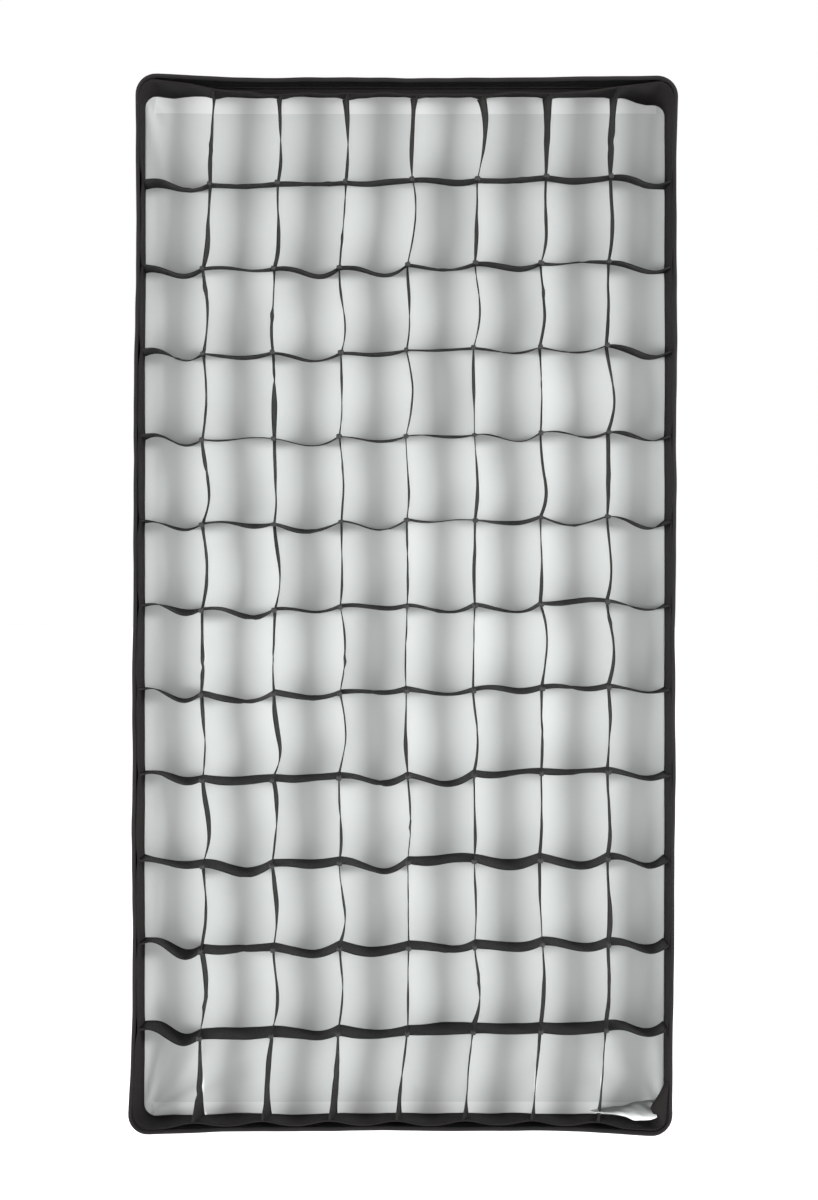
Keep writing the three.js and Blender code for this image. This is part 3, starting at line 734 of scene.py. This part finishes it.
def refined(points, columns, rows, count_x, count_z):
    """The cloth's grid of points with more points between them, smoothly."""
    grid = points.reshape(rows, columns, 3)

    def finer(values, count):
        old = np.linspace(0, 1, values.shape[0])
        new = np.linspace(0, 1, count)
        place = np.clip(np.searchsorted(old, new, side="right") - 1, 0, len(old) - 2)
        t = ((new - old[place]) / (old[place + 1] - old[place]))[:, None, None]
        before = values[np.maximum(place - 1, 0)]
        first, second = values[place], values[place + 1]
        after = values[np.minimum(place + 2, len(old) - 1)]
        cubic = 3 * (first - second) + after - before
        square = 2 * before - 5 * first + 4 * second - after
        return first + 0.5 * t * (second - before + t * (square + t * cubic))

    taller = finer(grid, count_z)
    return finer(taller.transpose(1, 0, 2), count_x).transpose(1, 0, 2)


# Folding marks in the front cloth, as (along x?, place, depth in millimetres, width in millimetres).
FOLD_MARKS = [(False, 0.03, 0.5, 5), (False, 0.31, 0.35, 4), (False, -0.29, 0.35, 4), (True, 0.01, 0.35, 4)]

# Pleats out from three corners: sign of x, sign of z, height in millimetres, how many, where they start.
CORNER_PLEATS = [(-1, -1, 2.8, 13, 0.3), (1, -1, 1.8, 11, 1.1), (-1, 1, 1.2, 11, 2.0)]


def front_relief(x, z):
    """Small creases of the front cloth, in metres along Y."""
    height = 0.0
    for upright, place, depth, width in FOLD_MARKS:
        across = (x if upright else z) - place + 0.004 * smooth_noise(x, 4, z, 5)
        height += depth * MM * exp(-((across / (width * MM)) ** 2))
    for sign_x, sign_z, size, ridges, start in CORNER_PLEATS:
        dx, dz = sign_x * FRONT_HALF.x - x, sign_z * FRONT_HALF.y - z
        away = hypot(dx, dz)
        angle = atan2(abs(dz), abs(dx))
        fade = exp(-((away / 0.16) ** 2)) * min(1.0, away / 0.02)
        height += size * MM * fade * sin(ridges * angle + start + 14 * away)
    height += 0.7 * MM * smooth_noise(x, 60, z, 19) + 0.35 * MM * smooth_noise(x, 64, z, 47)
    return height


def round_corners(grid, half, radius=20 * MM):
    """Draws the square corners of a cloth's grid in to round ones."""
    for row in grid:
        for point in row:
            past_x, past_z = abs(point[0]) - (half.x - radius), abs(point[2]) - (half.y - radius)
            if past_x > 0 and past_z > 0:
                shrink = max(past_x, past_z) / hypot(past_x, past_z)
                point[0] = copysign(half.x - radius + past_x * shrink, point[0])
                point[2] = copysign(half.y - radius + past_z * shrink, point[2])


# Widths of the front cloth's hem at its sides, at the bottom and at the top.
HEM_SIDE, HEM_LOW, HEM_HIGH = 10 * MM, 20 * MM, 27 * MM


def hem_places(columns, rows):
    """The (row, column, is it above or below) places in the front cloth's hem."""
    for r in range(rows):
        for c in range(columns):
            side = min(c, columns - 1 - c) / (columns - 1) * 2 * FRONT_HALF.x
            low, high = r / (rows - 1) * 2 * FRONT_HALF.y, (rows - 1 - r) / (rows - 1) * 2 * FRONT_HALF.y
            if side < HEM_SIDE or low < HEM_LOW or high < HEM_HIGH:
                yield r, c, side >= HEM_SIDE


def build_white_cloth(cloth, columns, rows, finer, low, high, y, half, body, node, held_by):
    """Turns a hung cloth into a piece. low and high limit how far it stands off y, in millimetres."""
    name, is_front = cloth.name, body == "front"
    fine_x, fine_z = finer * (columns - 1) + 1, finer * (rows - 1) + 1
    grid = refined(settled_points(cloth), columns, rows, fine_x, fine_z)
    bpy.data.objects.remove(cloth)
    depth = (grid[..., 1] - y) / MM
    grid[..., 1] = y + MM * np.where(depth < 0, low * np.tanh(depth / low), high * np.tanh(depth / high))
    round_corners(grid, half)
    if is_front:
        for point in (point for row in grid for point in row):
            rim = min(half.x - abs(point[0]), half.y - abs(point[2])) / REACH_FADE
            point[1] += front_relief(point[0], point[2]) - CLOTH_REACH * min(1.0, max(0.0, rim))
        for r, c, _ in hem_places(fine_x, fine_z):
            grid[r, c, 1] -= 0.5 * MM
        grid[..., 1] = np.maximum(grid[..., 1], GRID_REAR + 0.3 * MM)
    CLOTH_GRIDS[name] = grid
    made = piece(name, grid.reshape(-1, 3), grid_faces(fine_z, fine_x), WHITE, body, "white_cloth", [node])
    if is_front:
        made.data.materials.append(WHITE_HEM)
        for r, c, lighter in hem_places(fine_x - 1, fine_z - 1):
            made.data.polygons[r * (fine_x - 1) + c].material_index = int(lighter)
    thicken(made, 0.5 * MM, 1.0 if is_front else 0.0)


def build_white_cloths():
    front = flat_cloth("diffuser", FRONT_HALF, FRONT_Y, front_hold)
    baffle = flat_cloth("baffle_cloth", BAFFLE_HALF, BAFFLE_Y, lambda x, z: Vector((0, 0)))
    hang(front[0], sorted(rim_numbers(front[2], front[1])), CLOTH_FRAMES)
    for number in range(1, CLOTH_FRAMES + 1):
        bpy.context.scene.frame_set(number)
    build_white_cloth(*front, 3, -1.0, 1.6, FRONT_Y, FRONT_HALF, "front", "front_cloth", "hook_strip")
    build_white_cloth(*baffle, 2, -25, 25, BAFFLE_Y, BAFFLE_HALF, "baffle", "inner_baffle", "tab_1")
    bpy.context.scene.frame_set(1)


build_white_cloths()


def on_cloth(grid, half, x, z):
    """The point of a white cloth above its flat place (x, z)."""
    rows, columns = grid.shape[:2]
    c = (x / half.x + 1) / 2 * (columns - 1)
    r = (z / half.y + 1) / 2 * (rows - 1)
    c0, r0 = int(min(max(c, 0), columns - 2)), int(min(max(r, 0), rows - 2))
    u, v = min(max(c - c0, 0), 1), min(max(r - r0, 0), 1)
    low = grid[r0, c0] * (1 - u) + grid[r0, c0 + 1] * u
    high = grid[r0 + 1, c0] * (1 - u) + grid[r0 + 1, c0 + 1] * u
    return low * (1 - v) + high * v


def build_loose_corner():
    """The front cloth's loose corner, which has slipped forward over the grid's band at the bottom right."""
    columns, rows = 30, 12
    points = []
    for c in range(columns):
        u = c / (columns - 1)
        x = (214 + 72 * u) * MM
        top = (-573.5 - 3 * u - 3 * u**3) * MM
        fall = 9 * MM * u**1.3 * (1 - max(0.0, (u - 0.8) / 0.2) ** 1.5)
        for r in range(rows):
            v = r / (rows - 1)
            if v < 0.75:
                w = v / 0.75
                y = (-441.5 - 49 * w**0.8) * MM
                z = (-583 + 12 * u) * MM * (1 - w) + top * w + 1.5 * MM * sin(pi * w) * u
            else:
                w = (v - 0.75) / 0.25
                y = (-490.5 - 3 * sin(pi / 2 * w)) * MM
                z = top - fall * w
            crease = (1.2 * sin(10 * u + 5 * v) + 0.8 * sin(21 * u - 9 * v)) * MM * u
            points.append((x + 3 * MM * v * sin(6 * u), y + crease, z + crease))
    # The corner's white carries painted shade, darker than the front cloth and darker towards its top.
    corner = piece("diffuser_corner", points, grid_faces(columns, rows), WHITE_TIP_PAINTED_SHADE, "front", "white_cloth")
    thicken(corner, 0.5 * MM)


def build_gusset():
    """The black band's folded corner beside it."""
    inner = [(0.2955, -0.541), (0.289, -0.554), (0.281, -0.566), (0.2785, -0.5705)]
    inner += [(0.2825, -0.577), (0.2875, -0.583), (0.291, -0.590)]
    columns, rows = len(inner), 8
    points = []
    for k, (x, z) in enumerate(inner):
        outer_x, outer_z = 0.3005 - 0.006 * max(0.0, k - 3) / 3, max(z - 0.004, -0.588)
        for r in range(rows):
            v = r / (rows - 1)
            y = (-486 - 4 * sin(pi * v)) * MM
            points.append((x * (1 - v) + outer_x * v, y, z * (1 - v) + outer_z * v))
    fold = piece("egg_band_fold", points, grid_faces(columns, rows), *GRID_BAND)
    thicken(fold, 0.9 * MM)


build_loose_corner()
build_gusset()


# ---------------- the cloth shell
REAR_RADIUS = 96 * MM
SHELL_REAR = -19 * MM
SHELL_FRONT = -430 * MM
LEAVING = radians(16)
CLOTH = 1.12 * MM
REACH = hypot(HALF_WIDTH - REAR_RADIUS, HALF_HEIGHT - REAR_RADIUS)
DEPTH = SHELL_REAR - SHELL_FRONT
HALF_TURN = atan2(DEPTH, REACH) - LEAVING
BEND = hypot(REACH, DEPTH) / (2 * sin(HALF_TURN))


def section_at(share):
    """The half width, half height, corner radius, y and angle of the shell: 0 is the ring, 1 the front."""
    angle = LEAVING + 2 * HALF_TURN * share
    spread = BEND * (sin(angle) - sin(LEAVING)) / REACH
    sizes = [REAR_RADIUS + (full - REAR_RADIUS) * spread for full in (HALF_WIDTH, HALF_HEIGHT)]
    radius = REAR_RADIUS + (CORNER_RADIUS - REAR_RADIUS) * spread
    return (*sizes, radius, SHELL_REAR - BEND * (cos(LEAVING) - cos(angle)), angle)


def corner_point(share, sign_x, sign_z, inset=0.0):
    width, height, radius, y, angle = section_at(share)
    diagonal = radius * (1 - sqrt(0.5)) + inset * sin(angle) * sqrt(0.5)
    return Vector((sign_x * (width - diagonal), y - inset * cos(angle), sign_z * (height - diagonal)))


def panel_sag(share, across, depth):
    """How far a panel hangs inwards between its two ribs."""
    lengthwise = sin(pi * min(1.0, max(0.0, share))) ** 0.9
    return depth * lengthwise * cos(pi / 2 * across) ** 1.3


ARC_COLUMNS = 9
FLAT_COLUMNS = 60
PANEL_COLUMNS = 2 * ARC_COLUMNS + FLAT_COLUMNS
PANEL_SEEDS = {"right": 1, "left": 14, "top": 27, "bottom": 40}
PANEL_SAG = {"right": 17 * MM, "left": 17 * MM, "top": 9 * MM, "bottom": 9 * MM}
UPRIGHT_SIDES = ("right", "left")
INSIDE = np.array((0, -0.25, 0))


def panel_point(side, share, column):
    """A point of a panel's outside: share runs from the ring to the front and column across the panel."""
    upright = side in UPRIGHT_SIDES
    sign = 1 if side in ("right", "top") else -1
    seed = PANEL_SEEDS[side]
    width, height, radius, y, angle = section_at(share)
    out_size, along_size = (width, height) if upright else (height, width)
    past = column - ARC_COLUMNS - FLAT_COLUMNS + 1
    if column < ARC_COLUMNS:
        turn, along = -pi / 4 * (1 - column / ARC_COLUMNS), -(along_size - radius)
    elif past <= 0:
        turn, along = 0.0, (along_size - radius) * (2 * (column - ARC_COLUMNS) / (FLAT_COLUMNS - 1) - 1)
    else:
        turn, along = pi / 4 * past / ARC_COLUMNS, along_size - radius
    out = out_size - radius + radius * cos(turn)
    along += radius * sin(turn)
    across = min(1.0, abs(along) / max(1e-6, along_size - radius * (1 - sqrt(0.5))))
    ray = atan2(along, out)
    middle_lift = sin(pi * share)
    gathers = 2.0 * MM * exp(-share / 0.09) * min(1, share / 0.01) * sin(38 * ray + seed)
    from_seam = (1 - across) * along_size
    pucker = 1.1 * MM * exp(-from_seam / (16 * MM)) * sin(share * 120 + seed)
    pucker *= min(1, from_seam / (4 * MM)) * (0.4 + 0.6 * abs(smooth_noise(share, seed, sign, 6)))
    broad = 4.5 * MM * (1 - across**4) * middle_lift * smooth_noise(along, seed, share, 4)
    folds = 3.0 * MM * middle_lift * (1 - across**4)
    folds *= tension_fold(ray * (1.5 if upright else 3.2), share, seed)
    fine = 0.8 * MM * middle_lift * (1 - across**6) * smooth_noise(along, seed + 5, share * 0.6, 18)
    out -= panel_sag(share, across, PANEL_SAG[side]) + gathers + pucker + broad + folds + fine
    return (sign * out, y, along) if upright else (along, y, sign * out)


def tension_fold(ray, share, seed):
    """Soft folds that run out from the ring, where the cloth is pulled along its ribs."""
    wave = sin(9 * ray + seed + 2.5 * smooth_noise(share, seed, 0.2, 1.6))
    return max(0.0, wave) ** 3 * exp(-(((share - 0.35) / 0.4) ** 2))


def panel_patch(side, shares, columns):
    return np.array([[panel_point(side, share, column) for column in columns] for share in shares])


def panel_grid(side, rows=96):
    """The outside of a panel as rows of points, from the ring to the front."""
    return panel_patch(side, [(r / (rows - 1)) ** 1.15 for r in range(rows)], range(PANEL_COLUMNS))


def facing_out(normals, points, place):
    """The normals, turned over if the one at a place looks into the box."""
    return normals if np.dot(normals[place], points[place] - INSIDE) > 0 else -normals


def outward_normals(grid):
    normals = unit(np.cross(np.gradient(grid, axis=0), np.gradient(grid, axis=1)))
    return facing_out(normals, grid, (grid.shape[0] // 2, grid.shape[1] // 2))


def build_panel(side):
    grid = panel_grid(side)
    rows, columns = grid.shape[:2]
    points, faces = two_sided(grid, grid - outward_normals(grid) * CLOTH)
    made = piece(f"shell_{side}", points, faces, SHELL_BLACK, "softbox", "shell_cloth", [f"panel_{side}"])
    made.data.materials.append(SILVER)
    quads = (rows - 1) * (columns - 1)
    for k in range(quads, 2 * quads):
        made.data.polygons[k].material_index = 1
    area = area_of(grid)
    width = 2 * (HALF_HEIGHT if side in UPRIGHT_SIDES else HALF_WIDTH)
    flat = (width, max(run_length(grid[:, columns // 2], closed=False), area / width))
    area = min(area, flat[0] * flat[1])


def tube(points, radius_out, radius_across, around=10, wobble=0.0, seed=0):
    """A flattened tube along a curve that runs outwards from the Y axis."""
    points = np.array(points)
    ahead = tangents(points, closed=False)
    out = points.copy()
    out[:, 1] = 0
    out = unit(out - ahead * np.sum(out * ahead, axis=1, keepdims=True))
    side = np.cross(ahead, out)
    around_points = []
    for k, centre in enumerate(points):
        size = 1 + wobble * noise.noise(Vector((k * 0.37, seed, 0)))
        for a in range(around):
            turn = 2 * pi * a / around
            off = out[k] * radius_out * cos(turn) + side[k] * radius_across * sin(turn)
            around_points.append(centre + size * off)
    return np.array(around_points), tube_faces(len(points), around)


CORNERS = [(1, 1), (-1, 1), (-1, -1), (1, -1)]


def build_seams():
    for number, (sign_x, sign_z) in enumerate(CORNERS, 1):
        line = [corner_point(0.004 + 0.992 * k / 150, sign_x, sign_z, 0.4 * MM) for k in range(151)]
        points, faces = tube(line, 1.9 * MM, 3.4 * MM, wobble=0.22, seed=number)
        node = f"corner_piping_{number}"
        made = piece(f"seam_binding_{number}", points, faces, *SHELL_TAPE, [node])


for panel_side in ("right", "left", "top", "bottom"):
    build_panel(panel_side)
build_seams()


PATCH_SHARES = np.linspace(0.9, 0.992, 18)


def build_corner_patches():
    """A second layer of cloth on the outside of each front corner, where the ribs' ends press."""
    for side in PANEL_SEEDS:
        for end in (0, 1):
            reach = ARC_COLUMNS + (2.2 if side in UPRIGHT_SIDES else 4.2)
            columns = [0.8 + (reach - 0.8) * k / 16 for k in range(17)]
            if end:
                columns = [PANEL_COLUMNS - 1 - column for column in columns]
            grid = panel_patch(side, PATCH_SHARES, columns)
            normal = outward_normals(grid)
            points, faces = two_sided(grid + normal * 0.9 * MM, grid + normal * 0.05 * MM)
            name = f"corner_patch_{side}_{end + 1}"
            made = piece(name, points, faces, *SHELL_TAPE)


# One stitch: (lift off the cloth, half width, distance in from its end) of an end's corners, in millimetres.
STITCH_END = [(-0.2, 0.5, 0), (-0.2, -0.5, 0), (0.55, -0.3, 0.35), (0.55, 0.3, 0.35)]
STITCH_FACES = [(0, 1, 2, 3), (7, 6, 5, 4), (0, 4, 5, 1), (1, 5, 6, 2), (2, 6, 7, 3), (3, 7, 4, 0)]


def stitched(name, lines, pitch=4.6 * MM, share=0.68):
    """Stitches along lines of (points, outward normals), as one piece."""
    parts = []

    def at(place, run, values):
        return np.array([np.interp(place, run, values[:, axis]) for axis in range(3)])

    for points, normals in lines:
        points, normals = np.array(points), np.array(normals)
        run = np.concatenate([[0], np.cumsum(np.linalg.norm(np.diff(points, axis=0), axis=1))])
        for k in range(int(run[-1] / pitch)):
            ends = [at(place, run, points) for place in (k * pitch, (k + share) * pitch)]
            out = unit(at(k * pitch, run, normals))
            along = unit(ends[1] - ends[0])
            side = np.cross(along, out)
            corners = []
            for end, inwards in ((ends[0], along), (ends[1], -along)):
                for lift, wide, back in STITCH_END:
                    corners.append(end + (out * lift + side * wide + inwards * back) * MM)
            parts.append((corners, STITCH_FACES))
    points, faces = joined(parts)
    return piece(name, points, faces, THREAD, "softbox", "binding_tape", smooth=False)


# How far the stitches run from the seam.
STITCH_INSET = 5.5 * MM


def build_shell_stitching():
    lines = []
    shares = np.linspace(0.02, 0.985, 120)
    for side in PANEL_SEEDS:
        for end in (0, 1):
            columns = [ARC_COLUMNS * STITCH_INSET / (section_at(share)[2] * pi / 4) for share in shares]
            if end:
                columns = [PANEL_COLUMNS - 1 - column for column in columns]
            further = [column + (-0.4 if end else 0.4) for column in columns]
            near, far = (
                np.array([panel_point(side, a, c) for a, c in zip(shares, row)]) for row in (columns, further)
            )
            normals = unit(np.cross(tangents(near, False), far - near))
            lines.append((near, facing_out(normals, near, len(near) // 2)))
    stitched("seam_stitches", lines)


def build_front_binding():
    """The tape over the seam between the shell and the lip, with its two rows of stitches."""
    front, rear = (lip_edge(-0.5 * MM, y, 4 * MM) for y in (LIP_REAR - 7 * MM, LIP_REAR + 5.5 * MM))
    made = ribbon("front_binding", front, rear, 0.7 * MM, *SHELL_TAPE, closed=True)
    lines = []
    rows = [(LIP_REAR - 5.2 * MM, -1.2), (LIP_REAR + 3.7 * MM, -1.2), (LIP_FRONT + 10.5 * MM, -0.4)]
    for y, inset in rows:
        _, out = lip_outline(inset * MM, 4 * MM)
        lines.append((lip_edge(inset * MM, y, 4 * MM), np.insert(out, 1, 0, axis=1)))
    stitched("front_stitches", lines)


build_corner_patches()
build_shell_stitching()
build_front_binding()


def build_rear_collar():
    """The bound, gathered edge of the shell round the ring."""
    low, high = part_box("rear_collar")
    radius = high.x - 1.0 * MM
    around = 240
    front, rear = [], []
    for k in range(around):
        angle = 2 * pi * k / around
        gather = 0.35 * MM * sin(46 * angle)
        for curve, y, grow in ((front, low.y, 0.5 * MM), (rear, high.y, 0.0)):
            size = radius + gather + grow
            curve.append((size * cos(angle), y, size * sin(angle)))
    made = ribbon(
        "ring_binding", front, rear, 1.0 * MM, *SHELL_TAPE, ["rear_collar"],
        closed=True,
        section=[(0, 0.6), (0.06, 1), (0.3, 0.9), (0.36, 0.65), (0.42, 0.9), (0.94, 1), (1, 0.6)],
    )


build_rear_collar()


# ---------------- tabs, pockets and patches
def share_at(y):
    """How far along its ribs the shell is at a depth y."""
    return (acos(cos(LEAVING) - (SHELL_REAR - y) / BEND) - LEAVING) / (2 * HALF_TURN)


TAB_STEPS = 14


def build_tabs():
    for number in range(1, TAB_COUNT + 1):
        node = f"baffle_tab_{number}"
        low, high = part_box(node)
        edge_x, edge_z = TAB_PLACES[number - 1]
        centre = (low + high) / 2
        out = Vector((centre.x - edge_x * 0.93, 0, centre.z - edge_z * 0.93)).normalized()
        grid = CLOTH_GRIDS["baffle_cloth"]
        spot = Vector(on_cloth(grid, BAFFLE_HALF, edge_x * 0.97, edge_z * 0.975))
        reach = max(high.x - low.x, high.z - low.z) * 0.5
        sideways = abs(out.x) > 0.5
        sag = PANEL_SAG["right" if sideways else "top"]
        slack = panel_sag(share_at(centre.y), 0.35 if sideways else 0.0, sag)
        far = centre + out * (reach - slack - 2.5 * MM)
        far.y += 3 * MM
        start = Vector((edge_x, spot.y, edge_z)) - out * 14 * MM
        curve = [start.lerp(far, k / TAB_STEPS) for k in range(TAB_STEPS + 1)]
        for k, point in enumerate(curve):
            point.y += 1.3 * MM + 1.5 * MM * sin(pi * k / TAB_STEPS) * cos(number)
        across = out.cross(Vector((0, 1, 0))) * 11 * MM
        made = ribbon(
            f"tab_{number}", [c - across for c in curve], [c + across for c in curve], 1.0 * MM,
            TAPE_BLACK, "baffle", "elastic_tab", [node],
        )
        snap = Vector((edge_x, spot.y + 2.2 * MM, edge_z)) - out * 6 * MM
        piece(f"tab_snap_{number}", *disc(snap, 4.6 * MM, 1.6 * MM), STEEL, "baffle", "elastic_tab")


def disc(centre, radius, height):
    """A domed button that faces +Y."""
    profile = [(1.0, -0.5), (1.0, 0.1), (0.9, 0.35), (0.62, 0.5), (0.5, 0.42), (0.3, 0.46), (0.05, 0.5)]
    points, around = [], 24
    for share, rise in profile:
        for turn in (2 * pi * a / around for a in range(around)):
            off = Vector((radius * share * cos(turn), height * rise, radius * share * sin(turn)))
            points.append(centre + off)
    return points, tube_faces(len(profile), around)


def build_pockets():
    for number, (sign_x, sign_z) in enumerate(CORNERS, 1):
        node = f"corner_pocket_{number}"
        centre = middle(node)
        ahead = (corner_point(0.99, sign_x, sign_z) - corner_point(0.93, sign_x, sign_z)).normalized()
        curve = [centre + ahead * (t * 11.5 * MM) for t in np.linspace(-1, 1, 17)]
        points, faces = tube(curve, 7.4 * MM, 7.8 * MM, around=20, wobble=0.1, seed=number * 9)
        made = piece(f"rib_pocket_{number}", points, faces, *SHELL_TAPE, [node])


build_tabs()
build_pockets()


# ---------------- hard parts from the frame
# Each hard part's material and the width of its eased edges in millimetres.
HARD = {
    "bayonet_insert": (ALUMINIUM, 0.4),
    "speed_ring": (CAST, 0.8),
    "retaining_ring": (CAST, 0.5),
    **{f"retainer_screw_{number}": (STEEL, 0.2) for number in range(1, 4)},
    "lock_knob": (KNOB, 0.8),
    "lock_pad": (BRASS, 0.2),
}
for number in range(1, 5):
    HARD[f"rib_{number}"] = (GLASS_FIBRE, 0)
    HARD[f"rib_end_cap_{number}"] = (RUBBER, 0.4)


def finish_hard_parts():
    for name, (material, edge) in HARD.items():
        node = frame["nodes"][name]
        node.data.materials.clear()
        node.data.materials.append(material)
        node.data.polygons.foreach_set("use_smooth", [True] * len(node.data.polygons))
        node.data.set_sharp_from_angle(angle=radians(28))
        if edge:
            bevel = node.modifiers.new("eased edges", "BEVEL")
            bevel.width = edge * MM
            bevel.segments = 2
            bevel.limit_method = "ANGLE"
            bevel.angle_limit = radians(35)
            bevel.harden_normals = False


finish_hard_parts()


# ---------------- floor, light and camera
def floor():
    pale = Nodes(bpy.data.materials.new("pale_floor"))
    white = (1, 1, 1, 1)
    pale.finish(Base_Color=(0.9, 0.9, 0.9, 1), Roughness=0.8, Emission_Color=white, Emission_Strength=0.55)
    mesh = bpy.data.meshes.new("floor")
    half, z = 60, -0.75
    corners = [(-half, -half, z), (half, -half, z), (half, half, z), (-half, half, z)]
    mesh.from_pydata(corners, [], [(0, 1, 2, 3)])
    mesh.materials.append(pale.owner)
    placed("floor", mesh)


LIGHT_AIM_YZ = -0.45, -0.04
LIGHT_SPREAD = radians(40)


def soft_light(name, place, size, energy, aim):
    """A soft box whose grid keeps its light to the middle of the object. It points at x = aim."""
    data = bpy.data.lights.new(name, "AREA")
    data.shape = "RECTANGLE"
    data.size, data.size_y = size
    data.energy = energy
    data.spread = LIGHT_SPREAD
    lamp = placed(name, data)
    lamp.location = place
    towards = Vector((aim, *LIGHT_AIM_YZ)) - Vector(place)
    lamp.rotation_euler = towards.to_track_quat("-Z", "Y").to_euler()
    lamp.visible_camera = False


# How bright the room is: in front at eye level, and in front above and below.
ROOM_FRONT = 1.0
ROOM_CEILING = 0.5


def world():
    """A white room whose ceiling and floor give less light in front of the object than behind it."""
    room = Nodes(bpy.data.worlds.new("white_room"), "Background", "Generated")
    _, y, z = room.add("ShaderNodeSeparateXYZ", {0: room.place}).outputs
    in_front = room.between(room.math("ABSOLUTE", z), 0.05, 0.6, ROOM_FRONT, ROOM_CEILING)
    room.finish(Color=(1, 1, 1, 1), Strength=room.between(y, -0.3, 0.0, in_front, 1.0))
    bpy.context.scene.world = room.owner


CAMERA_PLACE = (0.005, -3.092, 0.005)
LENS = 69.0


def camera():
    data = bpy.data.cameras.new("camera")
    data.sensor_width = 36
    data.lens = LENS
    made = placed("camera", data)
    made.location = CAMERA_PLACE
    made.rotation_euler = (radians(90), 0, 0)
    bpy.context.scene.camera = made


floor()
world()
soft_light("left_light", (-4.7, -4.15, 0.1), (2.1, 1.0), 31, 0.12)
soft_light("right_light", (4.7, -4.15, 0.1), (2.1, 1.0), 33, 0.08)
soft_light("front_light", (0.0, -4.05, -0.1), (0.5, 0.5), 1.85, 0.03)
camera()
bpy.context.scene.view_settings.view_transform = "Standard"
